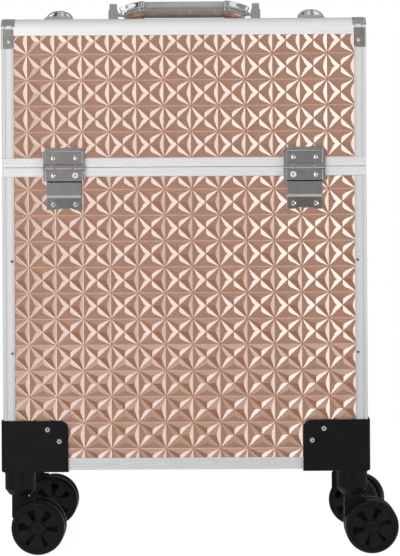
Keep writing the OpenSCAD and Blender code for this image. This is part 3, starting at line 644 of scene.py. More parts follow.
def rounded_loop(bm, inset, z):
    """A rectangle round the case at a height, with rounded corners; returns its edges."""
    old_edges, old_faces = set(bm.edges), set(bm.faces)
    verts = bmesh.ops.create_grid(bm, x_segments=1, y_segments=1, size=1)["verts"]
    bmesh.ops.scale(bm, vec=(half_w - inset, half_d - inset, 1), verts=verts)
    bmesh.ops.translate(bm, vec=(0, 0, z), verts=verts)
    round_corners(bm, verts, max(edge_r - inset, lip_r), corner_steps)
    bmesh.ops.delete(bm, geom=[face for face in bm.faces if face not in old_faces], context="FACES_ONLY")
    return [edge for edge in bm.edges if edge not in old_edges]


def ring(section):
    """A rail round the case, from the (inset, height) corners of its section."""
    bm = bmesh.new()
    loops = [rounded_loop(bm, inset, z) for inset, z in section]
    for near, far in zip(loops, loops[1:] + loops[:1]):
        bmesh.ops.bridge_loops(bm, edges=near + far)
    return tidy(bm)


def ring_section(low, height, grooves, lip, lip_low):
    """Section of a rail with its face from low up, and a lip of the given depth at its foot or its top."""
    face = [(depth, low + along) for along, depth in ribbed_face(height, grooves)]
    high = low + height
    if lip_low:
        return face + [(frame_t, high), (frame_t, low + frame_t), (lip, low + frame_t), (lip, low)]
    return face + [(lip, high), (lip, high - frame_t), (frame_t, high - frame_t), (frame_t, low)]


# %% Rails round the case
def frame_piece(name, bm, body, metal):
    finish_piece(name, bm, body, metal, [body + "_frame"])


bottom_rail = ring(ring_section(base_z, bottom_leg, (2.4, 5.4, 8.6), bottom_leg, True))
base_seam_rail = ring(ring_section(base_top - seam_rail_h, seam_rail_h, (1.5, 4.4, 6.9), wall_t, False))
lid_seam_rail = ring(ring_section(lid_z, seam_rail_h, (1.6, 4.1, 7.0), wall_t, True))
frame_piece("base_rails", gather(bottom_rail, base_seam_rail), "base", aluminium_flat)

# %% [markdown]
# Each lid has half of such a ring. A bisect keeps the half and the two cut ends are filled.

# %% Half rings on the lids
def half_ring(side):
    bm = lid_seam_rail.copy()
    fill(bm, cut_off(bm, (0, side * split, 0), (0, -side, 0)))
    return tidy(bm)


for lid, side in (("front_lid", -1), ("rear_lid", 1)):
    frame_piece(lid + "_seam_rail", half_ring(side), lid, aluminium_flat)

# %% [markdown]
# The posts are an angle section with the same ribs on both faces. The outline is drawn with a sharp corner
# and pushed up, and a bevel then rounds the corner edge. The lid's posts end behind the heads of the corner
# caps, just above the neck that divides the head of a cap from its leg.

# %% Corner posts
joint_gap = 0.12
post_grooves = (1.3, 7.2, 8.6)
cap_neck = [top_z - drop for drop in (7.2, 8.1, 9.6, 10.6)]
post_past_neck = 0.4


def angle_outline():
    """Corners of an angle section whose outer corner is the origin: the legs run along -X and +Y."""
    face = ribbed_face(post_leg, post_grooves)[:-2]
    first = [(along - post_leg, depth) for along, depth in face]
    second = [(-depth, post_leg - along) for along, depth in reversed(face)]
    inside = [(-frame_t, post_leg), (-frame_t, frame_t), (-post_leg, frame_t)]
    return first + [(0, 0)] + second + inside


def corner_post(low, high):
    outline = [(half_w + x, -half_d + y, low) for x, y in angle_outline()]
    bm = bar(outline, (0, 0, high - low))
    return round_edges(bm, edges_at(bm, x=half_w, y=-half_d), edge_r, corner_steps)


base_post = corner_post(base_z + bottom_leg + joint_gap, base_top - seam_rail_h - joint_gap)
frame_piece("base_posts", copies(base_post, FOUR_CORNERS), "base", aluminium_up)
rail_top = lid_z + seam_rail_h + joint_gap
lid_post = corner_post(rail_top, cap_neck[0] + post_past_neck)

# %% [markdown]
# The front and rear top edges are a smooth quarter round. The side edges are the ribbed angle again, and
# flat angles line the split where the two half lids meet.

# %% Top edges and split rails
roll_steps = 12


def top_edge_rail():
    y, z = -half_d, top_z
    outline = [(y, z - top_leg), (y, z), (y + top_leg, z), (y + top_leg, z - frame_t),
               (y + frame_t, z - frame_t), (y + frame_t, z - top_leg)]
    bm = bar_across(outline, half_w - post_leg)
    round_edges(bm, edges_at(bm, y=y, z=z), top_r, roll_steps)
    round_edges(bm, edges_at(bm, y=y + frame_t, z=z - frame_t), top_r - frame_t, roll_steps)
    return soften(bm, 0.2, 1, 60)


def side_edge_rail():
    outline = [(half_w + x, -split, top_z - y) for x, y in angle_outline()]
    bm = bar(outline, (0, -half_d + cap_len + split, 0))
    return round_edges(bm, edges_at(bm, x=half_w, z=top_z), edge_r, corner_steps)


def split_outline(edge, reach):
    """Corners of a flat angle along the split, as (y, place) with its face at an edge and its lip inwards."""
    near, far = -split - post_leg, -split
    return [(near, edge), (far, edge), (far, edge - reach), (far - frame_t, edge - reach),
            (far - frame_t, edge - frame_t), (near, edge - frame_t)]


def split_edges():
    """The flat angle along the top of the split, and the one down each side of it."""
    reach = frame_t + board_high.y - board_low.y
    top_bar = bar_across(split_outline(top_z, reach), half_w - post_leg - joint_gap)
    side = [(x, y, rail_top) for y, x in split_outline(half_w, reach)]
    side_bar = bar(side, (0, 0, top_z - post_leg - joint_gap - rail_top))
    return soften(top_bar, 0.3), soften(side_bar, 0.3)


split_top, split_side = split_edges()
for lid, facing in LIDS.items():
    both = [facing @ place for place in LEFT_RIGHT]
    frame_piece(lid + "_posts", stamp(copies(lid_post, both), split_side, both), lid, aluminium_up)
    top_rail = stamp(copies(top_edge_rail(), [facing]), split_top, [facing])
    frame_piece(lid + "_top_rail", top_rail, lid, aluminium_wide)
    frame_piece(lid + "_side_rails", copies(side_edge_rail(), both), lid, aluminium_deep)

# %% [markdown]
# ## Corner caps
# A cap is one pressing that wraps the corner from three sides, with a pinched neck between its head and its
# leg. It starts as a box: the top edge is rolled over like the rail beside it, the outer edges are rounded,
# and the three inner sides are taken away. Lines round the leg then mark the neck, which is pressed in so
# far that the post shows, before the sheet gets its thickness.

# %% Corner caps
cap_proud = 0.4
cap_neck_deep = 1.2
cap_neck_margin = 0.1
cap_head_over = 1.2
cap_edge_r = 1.5
cap_foot_r = 2.2
cap_sheet = 1.1


def cap_corner(x, y, z, inner_x, inner_y, inner_z):
    """The pressed corner before its neck is formed: the outer faces of a box, with their edges rounded."""
    bm = block((inner_x, y, inner_z), (x, inner_y, z))
    round_edges(bm, edges_at(bm, y=y, z=z), top_r + cap_proud, 10)
    free = edges_at(bm, x=x, z=inner_z) + edges_at(bm, x=x, y=inner_y)
    round_edges(bm, [edge for edge in edges_at(bm, x=x) if edge not in free], cap_edge_r, 6)
    inside = faces_at(bm, x=inner_x) + faces_at(bm, y=inner_y) + faces_at(bm, z=inner_z)
    bmesh.ops.delete(bm, geom=inside, context="FACES")
    return bm


def corner_cap():
    inner_x, inner_y, inner_z = half_w - post_leg, -half_d + cap_len, top_z - cap_leg
    bm = cap_corner(half_w + cap_proud, -half_d - cap_proud, top_z + cap_proud, inner_x, inner_y, inner_z)
    for height in cap_neck:
        slice_at(bm, z=height)
    bm.normal_update()
    low, high = cap_neck[2] - cap_neck_margin, cap_neck[1] + cap_neck_margin
    neck = [vert for vert in bm.verts if low < vert.co.z < high]
    for vert in neck:
        vert.co -= vert.normal * cap_neck_deep
    neck_edge = [vert for vert in neck if vert.co.x < inner_x + NEAR]
    bmesh.ops.translate(bm, vec=(cap_neck_deep, 0, 0), verts=neck_edge)
    head = [vert for vert in verts_at(bm, x=inner_x) if vert.co.z > cap_neck[0] - cap_neck_margin]
    bmesh.ops.translate(bm, vec=(-cap_head_over, 0, 0), verts=head)
    feet = verts_at(bm, x=inner_x, z=inner_z) + verts_at(bm, y=inner_y, z=inner_z)
    round_corners(bm, feet, cap_foot_r, 3)
    bmesh.ops.solidify(bm, geom=bm.faces[:], thickness=cap_sheet)
    return soften(tidy(bm), 0.25, 2, 50)


cap = corner_cap()
for lid, facing in LIDS.items():
    caps = copies(cap, [facing @ place for place in LEFT_RIGHT])
    finish_piece(lid + "_corner_caps", caps, lid, cap_metal, [lid + "_caps"])

# %% [markdown]
# ## Hinges
# Each hinge is two folded leaves on one pin. A leaf is a shallow channel, so its section is pushed along
# the height, and the long lower strip is a bent plate, so its side view is pushed across. The knuckles are
# turned tubes. All is drawn with Y pointing out of the case, and mirrored onto the front and the rear face.

# %% Sizes of a hinge
hinge_half = 19.5
hinge_x = box_mm("front_lid_leaves")[1].x - hinge_half
strip_half = 16.25
leaf_t = 1.5
leaf_down = 39.8
leaf_up = 18.2
flange_down = 12.7
flange_h = 3.6
flange_t = 2.6
flange_r = 0.4
pad_lean = 1.0
pin_out = -half_d - joint_mm("front_lid_hinge")[0].y
knuckle_r = 2.4
knuckle_bore = 1.25
knuckle_half = 8.0
knuckle_gap = 0.45
knuckle_clear = 2.9
lip_in = 3.6
lip_h = 4.2
lip_slope = 0.85
print("hinges at", hinge_x, "to each side, with the pin", pin_out, "out of the face")


# %% Parts of a hinge
def channel(low, high):
    """A leaf with a flange along both edges."""
    h, w = hinge_half, hinge_half - flange_t
    outline = [(-h, 0), (h, 0), (h, flange_h), (w, flange_h), (w, leaf_t), (-w, leaf_t), (-w, flange_h),
               (-h, flange_h)]
    bm = bar([(x, y, low) for x, y in outline], (0, 0, high - low))
    for x in (-h, -w, w, h):
        round_edges(bm, edges_at(bm, x=x, y=flange_h), flange_r, 4)
    return bm


def knuckle(start, end, low, high):
    """A rolled eye round the pin, with the web that joins it to its leaf."""
    eye = turned([(knuckle_bore, start), (knuckle_r, start), (knuckle_r, end), (knuckle_bore, end)], 24, True)
    soften(eye, 0.25)
    eye.transform(Matrix.Translation((0, pin_out, 0)) @ TO_X)
    return gather(eye, block((start, 0, low), (end, leaf_t, high)))


def base_strip():
    """The long plate under the base leaf, with a step down onto the board, a bowed lower edge and painted
    shade in the groove below the leaf.
    """
    step, foot = 26.0, 28.5
    seam, sunk = -flange_down - 1.2, 0.2
    bow_flat, bow_end, bow_rise = 7, 11, 1.6
    side = [(0, -knuckle_clear), (sunk, -knuckle_clear), (sunk, 0.2 - flange_down), (sunk + 0.35, seam),
            (leaf_t, seam - 0.2), (leaf_t, -step), (leaf_t - frame_t, -foot),
            (leaf_t - frame_t + pad_lean, -leaf_down), (pad_lean - frame_t, -leaf_down), (-frame_t, -foot),
            (0, -step)]
    bm = bar_across(side, strip_half)
    for place in (-bow_end, -bow_flat, bow_flat, bow_end):
        slice_at(bm, x=place)
    bow = [vert for vert in verts_at(bm, z=-leaf_down) if abs(vert.co.x) < bow_flat + NEAR]
    bmesh.ops.translate(bm, vec=(0, 0, bow_rise), verts=bow)
    soften(bm, 0.3)
    # Faces of the groove below the leaf take the near-black second finish: painted shade.
    for face in bm.faces:
        place = face.calc_center_median()
        face.material_index = int(seam - 0.3 < place.z < 0.15 - flange_down and place.y < leaf_t - 0.2)
    return bm


# %% Hinge leaves
def base_leaf():
    leaf = soften(channel(-flange_down, -knuckle_clear), 0.35)
    left = knuckle(-hinge_half, -knuckle_half - knuckle_gap, -knuckle_clear, 0)
    right = knuckle(knuckle_half + knuckle_gap, hinge_half, -knuckle_clear, 0)
    return gather(leaf, base_strip(), left, right)


def lid_leaf():
    leaf = channel(knuckle_clear, leaf_up)
    lip_half, lip_low, lip_back = hinge_half - lip_in, leaf_up - lip_h, leaf_t - 0.2
    for side in (-1, 1):
        fill(leaf, cut_off(leaf, (side * lip_half, 0, leaf_up), (side, 0, lip_slope)))
    soften(tidy(leaf), 0.35)
    lip = bar_across([(lip_back, lip_low), (2.0, lip_low), (2.9, lip_low + 1.1), (2.2, leaf_up),
                      (lip_back, leaf_up)], lip_half)
    middle = knuckle(knuckle_gap - knuckle_half, knuckle_half - knuckle_gap, 0, knuckle_clear)
    return gather(leaf, soften(lip, 0.25), middle)


def at_hinge(side, facing):
    return facing @ Matrix.Translation((side * hinge_x, -half_d, seam_z)) @ MIRROR_Y


base_hinges = copies(base_leaf(), [at_hinge(side, facing) for side in (-1, 1) for facing in LIDS.values()])
# The lower leaves carry the painted groove shade as their second finish.
finish_piece("hinge_lower_leaves", base_hinges, "base", nickel, ["hinge_base_leaves"], smooth=20,
             second=painted_groove_shade)
for lid, facing in LIDS.items():
    leaves = copies(lid_leaf(), [at_hinge(side, facing) for side in (-1, 1)])
    finish_piece(lid + "_hinge_leaves", leaves, lid, nickel, [lid + "_leaves"], smooth=20)

# %% [markdown]
# ## Rivets
# Three kinds hold the case together: solid domes, tubular rivets whose rolled head leaves a hole, and tiny
# dots along the posts. Each is a profile spun once, a few dozen faces, and stamped onto its face with its
# axis outwards.

# %% Rivet heads
hinge_r, ring_r, bracket_rivet_r, cap_rivet_r, dot_r = 2.75, 3.0, 2.4, 1.8, 1.3
rivet_steps = 16
rivet_rows = {"lid": 8.4, "base": -7.5, "strip": -34.5}
rivet_half_gap = 10.5
bracket_t = 2.0
bracket_len = 60.5
bracket_h = 48.0
bracket_z = base_z - bracket_t
bracket_rivet_near, bracket_rivet_far = 8.3, 19.2
dot_in = post_leg - 2.5
dot_heights = (0.385, 0.69)


def dome_rivet(r):
    h = 0.55 * r
    profile = [(0, h), (0.42 * r, 0.95 * h), (0.76 * r, 0.68 * h), (0.96 * r, 0.26 * h), (r, 0)]
    return turned(profile, rivet_steps)


def tube_rivet(r):
    h, sunk = 0.5 * r, -0.1
    profile = [(0, sunk), (0.3 * r, sunk), (0.34 * r, 0.7 * h), (0.55 * r, h), (0.82 * r, 0.72 * h), (r, 0)]
    return turned(profile, rivet_steps)


def on_front(x, z, proud):
    return Matrix.Translation((x, -half_d - proud, z)) @ STAND_UP


def on_right(y, z, proud):
    return Matrix.Translation((half_w + proud, y, z)) @ TO_X


# %% Rivets of the base
base_rivets, bracket_rivets, ring_rivets, post_dots = [bmesh.new() for _ in range(4)]
for share in dot_heights:
    z = base_z + share * (seam_z - base_z)
    places = at_corners(on_front(half_w - dot_in, z, 0), on_right(dot_in - half_d, z, 0))
    stamp(post_dots, dome_rivet(dot_r), places)
for along, down in ((bracket_rivet_near, bracket_rivet_far), (bracket_rivet_far, bracket_rivet_near)):
    reach, z = bracket_len - along, bracket_z + bracket_h - down
    places = at_corners(on_front(half_w - reach, z, bracket_t), on_right(reach - half_d, z, bracket_t))
    stamp(bracket_rivets, tube_rivet(bracket_rivet_r), places)
for across in (-1, 1):
    x = hinge_x + across * rivet_half_gap
    group, head = (ring_rivets, tube_rivet(ring_r)) if across < 0 else (base_rivets, dome_rivet(hinge_r))
    stamp(group, head, at_corners(on_front(x, seam_z + rivet_rows["base"], leaf_t)))
    strip_places = at_corners(on_front(x, seam_z + rivet_rows["strip"], leaf_t - frame_t))
    stamp(base_rivets, tube_rivet(hinge_r), strip_places)
# The post dots and the ring rivets get the shaded and the highlighted copy of the rivet aluminium.
for name, heads, metal in (("base_rivet_heads", base_rivets, chrome),
                           ("post_rivet_heads", post_dots, rivet_painted_shade),
                           ("bracket_rivet_heads", bracket_rivets, rivet_grey),
                           ("hinge_ring_rivets", ring_rivets, rivet_painted_highlight)):
    finish_piece(name, heads, "base", metal, ["base_rivets"])

# %% Rivets of the lids
cap_rivet_in = 7.0
cap_rivet_z = top_z - cap_leg + 6.4
for lid, facing in LIDS.items():
    both = [facing @ place for place in LEFT_RIGHT]
    heads = bmesh.new()
    for across in (-1, 1):
        place = on_front(hinge_x + across * rivet_half_gap, seam_z + rivet_rows["lid"], leaf_t)
        stamp(heads, dome_rivet(hinge_r), [turn @ place for turn in both])
    for place in (on_front(half_w - cap_rivet_in, cap_rivet_z, cap_proud),
                  on_right(-half_d + cap_len - cap_rivet_in, cap_rivet_z, cap_proud)):
        stamp(heads, dome_rivet(cap_rivet_r), [turn @ place for turn in both])
    finish_piece(lid + "_rivet_heads", heads, lid, chrome, [lid + "_rivets"])

# %% [markdown]
# ## Corner brackets
# A bracket is a moulded box corner with three sides, rounded where hands and stairs hit it, over a stout
# socket for the caster stem. The box loses its open sides, its free corners are rounded, and solidify gives
# it a wall.

# %% Corner brackets
bracket_r = 8.0
bracket_foot_r = 1.6
bracket_slack = 0.05
stem = joint_mm("front_right_swivel")[0]
housing_r = 14.2
collar_out = 0.9
stem_bore = 5.1


def corner_bracket():
    x, y = half_w + bracket_t, -half_d - bracket_t
    inner_x, inner_y = half_w - bracket_len, -half_d + bracket_len
    high = bracket_z + bracket_h
    bm = block((inner_x, y, bracket_z), (x, inner_y, high))
    round_edges(bm, edges_at(bm, x=x, y=y), edge_r + bracket_t, 6)
    open_edges = edges_at(bm, x=inner_x) + edges_at(bm, y=inner_y)
    low_edges = [edge for edge in edges_at(bm, z=bracket_z) if edge not in open_edges]
    round_edges(bm, low_edges, bracket_foot_r, 3)
    open_sides = faces_at(bm, x=inner_x) + faces_at(bm, y=inner_y) + faces_at(bm, z=high)
    bmesh.ops.delete(bm, geom=open_sides, context="FACES")
    free = verts_at(bm, x=inner_x, z=high) + verts_at(bm, y=inner_y, z=high)
    round_corners(bm, free, bracket_r, 6)
    bmesh.ops.solidify(bm, geom=bm.faces[:], thickness=bracket_t - bracket_slack)
    return soften(tidy(bm), 0.45, 2, 50)


def stem_socket():
    low, high, r = stem.z, bracket_z + 0.2, housing_r
    profile = [(stem_bore, low), (r - 4.4, low), (r - 3.8, low + 0.3), (r, low + 5.5), (r, high - 3.0),
               (r + collar_out, high - 0.8), (r + collar_out, high), (stem_bore, high)]
    socket = turned(profile, 48, True)
    socket.transform(Matrix.Translation((stem.x, stem.y, 0)))
    return socket


brackets = copies(gather(corner_bracket(), stem_socket()), FOUR_CORNERS)
finish_piece("caster_brackets", brackets, "base", black_plastic, ["corner_brackets"])

# %% [markdown]
# ## Wheels
# A wheel is one turned section: hub cap, web, rim ring and a round tread. Six deep pockets between hub and
# rim are pushed into the web, down to a thin skin at the back. Their walls and skin get a near-black finish,
# painted shade for the dark of the holes.

# %% Wheel with six pockets
wheel_r = 25.0
wheel_w = 13.0
pocket_in, pocket_out = 8.6, 16.8
web_front, web_back = 11.7, 1.0
pocket_deep = 9.2
pocket_margin = 0.1
spin_steps = 72
pocket_pitch = math.radians(60)
pocket_half = math.radians(15)


def wheel_profile():
    hub = [(0, 12.0), (1.7, 12.0), (2.1, 12.5), (5.5, 12.6), (6.2, 12.1), (6.4, 11.1), (7.0, 11.1)]
    web = [(7.4, web_front), (pocket_in, web_front), (pocket_out, web_front), (18.9, web_front)]
    rim = [(19.3, 12.5), (20.8, 12.7), (21.1, 12.3), (21.6, 12.3), (21.9, 12.9), (22.9, 12.9)]
    tread = [(24.0, 12.3), (24.8, 11.0), (wheel_r, 9.0), (wheel_r, 4.0), (24.8, 2.0), (24.0, 0.7)]
    back = [(22.9, 0.1), (20.2, 0.1), (19.2, web_back), (pocket_out, web_back), (pocket_in, web_back)]
    bore = [(7.9, web_back), (7.4, 0.0), (3.1, 0.0), (3.1, 10.9), (0, 10.9)]
    return hub + web + rim + tread + back + bore


def over_pocket(place):
    """Whether a point of the web lies where one of the six pockets goes."""
    angle = math.atan2(place.y, place.x)
    aside = abs((angle + pocket_pitch / 2) % pocket_pitch - pocket_pitch / 2)
    return pocket_in < place.xy.length < pocket_out and aside < pocket_half


def in_pocket(place):
    ring_wide = pocket_in - pocket_margin < place.xy.length < pocket_out + pocket_margin
    return ring_wide and web_back + pocket_margin < place.z < web_front - pocket_margin


def wheel():
    bm = turned(wheel_profile(), spin_steps)
    tops = [face for face in faces_at(bm, z=web_front) if over_pocket(face.calc_center_median())]
    floors = only(VERT, bmesh.ops.extrude_face_region(bm, geom=tops)["geom"])
    bmesh.ops.translate(bm, vec=(0, 0, -pocket_deep), verts=floors)
    tidy(bm)
    # Pocket walls and floors take the near-black second finish as painted shade.
    for face in bm.faces:
        face.material_index = int(in_pocket(face.calc_center_median()))
    return soften(bm, 0.35, 2, 70)


# %% Eight wheels
wheel_shape = wheel()
pocket_turn = {"front_left": -5, "front_right": 13, "rear_left": 24, "rear_right": 40}
for corner, phase in pocket_turn.items():
    for side, tilt in (("outer", 90), ("inner", -90)):
        node = f"{corner}_{side}_wheel"
        axis = joint_mm(node + "_spin")[1]
        low, high = box_mm(node)
        turn = Matrix.Rotation(math.atan2(-axis.x, axis.y), 4, "Z") @ turn_about("X", tilt)
        outwards = turn.to_3x3() @ Vector((0, 0, 1))
        place = Matrix.Translation((low + high) / 2 - outwards * wheel_w / 2) @ turn @ turn_about("Z", phase)
        tyre = copies(wheel_shape, [place])
        finish_piece(f"{corner}_{side}_tyre", tyre, node, wheel_plastic, [node],
                     second=painted_pocket_shade)

# %% [markdown]
# ## Carry handle
# The grip is a straight polished bar, turned with a fine groove near each end. The ferrules beyond it bend
# down to the pivots: a circle spun through the angle of the bend, with a collar against the grip and a
# rounded end.

# %% Grip
grip_low, grip_high = box_mm("handle_grip")
grip_mid = (grip_low + grip_high) / 2
grip_r = (grip_high.z - grip_low.z) / 2
grip_half = grip_high.x
grip_groove = 0.3


def grip_bar():
    floor_r = grip_r - grip_groove
    near = [(0, 0), (grip_r - 0.5, 0), (grip_r, 0.5), (grip_r, 2.0), (floor_r, 2.2), (floor_r, 2.6),
            (grip_r, 2.8)]
    far = [(r, 2 * grip_half - along) for r, along in reversed(near)]
    bm = turned(near + far, 48)
    bm.transform(Matrix.Translation((-grip_half, grip_mid.y, grip_mid.z)) @ TO_X)
    return bm


finish_piece("grip_bar", grip_bar(), "carry_handle", satin_grip, ["handle_grip"])

# %% Ferrules
bend_run, bend_drop = 25.0, 6.2
bend_out = (bend_run ** 2 + bend_drop ** 2) / (2 * bend_drop)
bend_r = bend_out - grip_r
bend_angle = math.asin(bend_run / bend_out)
bend_centre = Vector((grip_half, grip_mid.y, grip_mid.z - bend_r))
pivot = joint_mm("carry_handle_pivot")[0]
pin_start = grip_half + bend_run / 2
pin_end = box_mm("handle_ferrules")[1].x
pin_r = 2
collar_proud, sleeve_proud = 0.8, 0.3


def bent_bar(start, end, r, steps):
    """A length of round bar along the bend, between two shares of its angle."""
    bm = bmesh.new()
    bmesh.ops.create_circle(bm, cap_ends=False, radius=r, segments=40)
    turn = Matrix.Rotation(start * bend_angle, 4, "Y")
    bm.transform(Matrix.Translation(bend_centre) @ turn @ Matrix.Translation((0, 0, bend_r)) @ TO_X)
    bmesh.ops.spin(bm, geom=bm.verts[:] + bm.edges[:], cent=bend_centre, axis=(0, 1, 0),
                   angle=(end - start) * bend_angle, steps=steps)
    fill(bm, boundary(bm))
    return tidy(bm)


collar = soften(bent_bar(0, 0.24, grip_r + collar_proud, 5), 0.5, 3, 60)
sleeve = soften(bent_bar(0.12, 1, grip_r + sleeve_proud, 14), 2.4, 6, 60)
pin = turned([(0, pin_start), (pin_r, pin_start), (pin_r, pin_end - 0.2), (0.7 * pin_r, pin_end + 0.25),
              (0, pin_end + 0.3)], 20)
pin.transform(Matrix.Translation((0, pivot.y, pivot.z)) @ TO_X)
ferrules = copies(gather(collar, sleeve, pin), LEFT_RIGHT)
finish_piece("grip_ferrules", ferrules, "carry_handle", chrome, ["handle_ferrules"])

# %% [markdown]
# ## Latches
# A lever is a pressed dome: its side view is pushed across, sliced lengthwise, and the slices are lowered
# towards the edges along an ellipse, so that the top is crowned both ways. A hub behind it turns on the
# pivot.

# %% Latch levers
latch_half = 12.4
latch_shift = 0.6
latch_hub_half = 10.3
latch_pivot = joint_mm("right_latch_pivot")[0]
lever_high = box_mm("right_latch_lever")[1]
hub_r = 3.0
nose_z = top_z + 6.7
nose_t = 3.0
crown_rise = 7.6
crown_slices = (0.25, 0.5, 0.68, 0.82, 0.92, 0.98)


def lever_dome():
    y, nose, top = latch_pivot.y, lever_high.y, lever_high.z
    under = [(y + 4.7, nose_z), (nose, nose_z), (nose, nose_z + nose_t)]
    over = [(nose - 3, top - 3.0), (nose - 8, top - 0.7), (nose - 16, top), (y + 18, top - 0.5)]
    back = [(y + 12, top - 2.2), (y + 7.5, top - 5.2), (y + 4.7, top - 7.4)]
    bm = bar_across(under + over + back, latch_half)
    for share in (0, *crown_slices, *[-share for share in crown_slices]):
        slice_at(bm, x=share * latch_half)
    for vert in bm.verts:
        share = max(0.0, (vert.co.z - nose_z) / (top - nose_z))
        across = min(1.0, abs(vert.co.x) / latch_half)
        vert.co.z -= share * crown_rise * (1 - math.sqrt(1 - across ** 2))
    soften(bm, 0.5, 3, 35)
    bmesh.ops.translate(bm, vec=(latch_shift, 0, 0), verts=bm.verts[:])
    return bm


def lever_hub():
    y, z = latch_pivot.y, latch_pivot.z
    arm = [(y + 6.5, nose_z + 0.3), (y + 6.5, lever_high.z - 6.6)]
    eye = [(y, z + hub_r - 0.1), (y - 2.1, z + 2.1), (y - 2.9, z), (y - 2.1, z - 2.1), (y, z - hub_r + 0.1),
           (y + 2.1, z - 2.1)]
    return soften(bar_across(arm + eye, latch_hub_half), 0.6, 3, 20)


lever_shape = gather(lever_dome(), lever_hub())
for name, side in (("left", -1), ("right", 1)):
    shape = copies(lever_shape, [Matrix.Translation((side * latch_pivot.x, 0, 0))])
    finish_piece(name + "_latch_dome", shape, name + "_latch", chrome, [name + "_latch_lever"])

# %% [markdown]
# ## Pieces that keep their shape
# The other nodes already have the right form, and only their edges are too sharp. Weld joins the loose
# triangles, a planar decimate makes whole faces of them again, and a bevel rounds what is left. The node's
# own mesh stays as it is, because all three are live modifiers.

# %% Dress the remaining nodes
node_edge_r = 0.4


def dress(node, material):
    piece = frame["nodes"][node]
    piece.data.materials.clear()
    piece.data.materials.append(material)
    weld = piece.modifiers.new("weld", "WELD")
    weld.merge_threshold = MERGE * MM
    faces = piece.modifiers.new("faces", "DECIMATE")
    faces.decimate_type = "DISSOLVE"
    faces.angle_limit = math.radians(1)
    soft = piece.modifiers.new("soft", "BEVEL")
    soft.width = node_edge_r * MM
    soft.segments = 2
    soft.limit_method = "ANGLE"
    soft.angle_limit = math.radians(40)
    flat_first(piece)


CORNERS = list(pocket_turn)
finishes = {
    lining: ["base_front_panel", "base_rear_panel", "base_side_panels", "base_floor_panel", "front_lid_panel",
             "front_lid_top", "front_lid_sides", "rear_lid_panel", "rear_lid_top", "rear_lid_sides"],
    flock: ["base_floor_liner", "front_lower_tray", "front_upper_tray", "rear_lower_tray", "rear_upper_tray"],
    steel: ["hinge_pins", "front_tray_arms", "rear_tray_arms"] + [corner + "_axle" for corner in CORNERS],
    chrome: ["handle_posts", "latch_bases", "latch_strikes", "pull_button"],
    aluminium_up: ["pull_outer_tubes", "pull_first_tubes", "pull_second_tubes", "pull_third_tubes"],
    black_plastic: ["pull_collar", "pull_grip"] + [corner + "_fork" for corner in CORNERS],
}
for material, nodes in finishes.items():
    for node in nodes:
        dress(node, material)
    print("dressed", len(nodes), "nodes in", material.name)

# %% [markdown]
# ## Floor
# The floor is a plain pale disc. For the camera it glows almost white, so the picture has a white ground,
# and its diffuse part still takes the shadow of the case. Metal sees a grey band round the case, so that
# the low rows of stars don't turn pale.

# %% Tools that mix light
def maths(tree, operation, *terms):
    """A maths node whose inputs are links or numbers."""
    node = tree.nodes.new("ShaderNodeMath")
    node.operation = operation
    for socket, term in zip(node.inputs, terms):
        if isinstance(term, float):
            socket.default_value = term
        else:
            tree.links.new(term, socket)
    return node.outputs[0]


def seen_by_metal(tree, path):
    return maths(tree, "MAXIMUM", path.outputs["Is Glossy Ray"], path.outputs["Is Transmission Ray"])


def greys(stops):
    return [(place, (level, level, level)) for place, level in stops]


# %% Floor
floor_r = 0.5
floor_glow = 0.95
band_glow = 0.5
band = ((0.0, floor_glow), (0.25, floor_glow), (0.28, band_glow), (0.38, band_glow), (0.44, floor_glow),
        (1.0, floor_glow))
paper = new_finish("floor_paper", (0.25, 0.25, 0.25), roughness=0.9, emission_color=(1, 1, 1, 1))
sheet = paper.node_tree
path = add_node(sheet, "LightPath")
spot = add_node(sheet, "TexCoord").outputs["Object"]
reach = add_node(sheet, "VectorMath", vector=spot)
reach.operation = "LENGTH"
fade = ramp(sheet, reach.outputs["Value"], greys(band))
to_camera = maths(sheet, "MULTIPLY", path.outputs["Is Camera Ray"], floor_glow)
to_metal = maths(sheet, "MULTIPLY", seen_by_metal(sheet, path), fade)
feed(paper, maths(sheet, "MAXIMUM", to_camera, to_metal), "Emission Strength")
floor_mesh = bpy.data.meshes.new("floor")
disc = bmesh.new()
bmesh.ops.create_circle(disc, cap_ends=True, radius=floor_r, segments=96)
disc.to_mesh(floor_mesh)
disc.free()
floor_mesh.materials.append(paper)
floor = bpy.data.objects.new("floor", floor_mesh)
bpy.context.scene.collection.objects.link(floor)
print("floor", floor_r, "m")

# %% [markdown]
# ## Studio
# The world is white to the camera. Metal sees a grey studio in it, with a dark gap between the walls and
# the ceiling, and white and black panels across the ceiling. They give chrome its grey, its dark lines and
# its highlights. The key light is a tall panel on the left, about twice as far off the camera's axis as the
# facets lean, so the facets that lean towards it flash and flat sheet metal stays grey.

# %% World
ambient_side, ambient_top, ambient_end = 0.86, 0.08, 0.8
ceiling_from, ceiling_full = 0.62, 0.72
studio = ((-1.0, 0.45), (0.0, 0.33), (0.17, 0.33), (0.21, 0.08), (0.30, 0.08), (0.36, 0.36), (1.0, 0.46))
overhead = ((-1.0, 0.5), (-0.42, 0.55), (-0.40, 0.16), (-0.33, 0.16), (-0.31, 1.0), (-0.19, 1.0),
            (-0.17, 0.04), (-0.12, 0.04), (-0.10, 0.44), (-0.03, 0.44), (-0.02, 0.8), (0.02, 0.8),
            (0.03, 0.3), (0.09, 0.3), (0.11, 0.95), (0.2, 0.95), (0.23, 0.3), (0.4, 0.3), (0.42, 0.06),
            (0.55, 0.06), (0.6, 0.5), (1.0, 0.5))
world = bpy.data.worlds.new("studio")
bpy.context.scene.world = world
world.use_nodes = True
sky = world.node_tree
direction = add_node(sky, "SeparateXYZ", vector=add_node(sky, "TexCoord").outputs["Generated"]).outputs


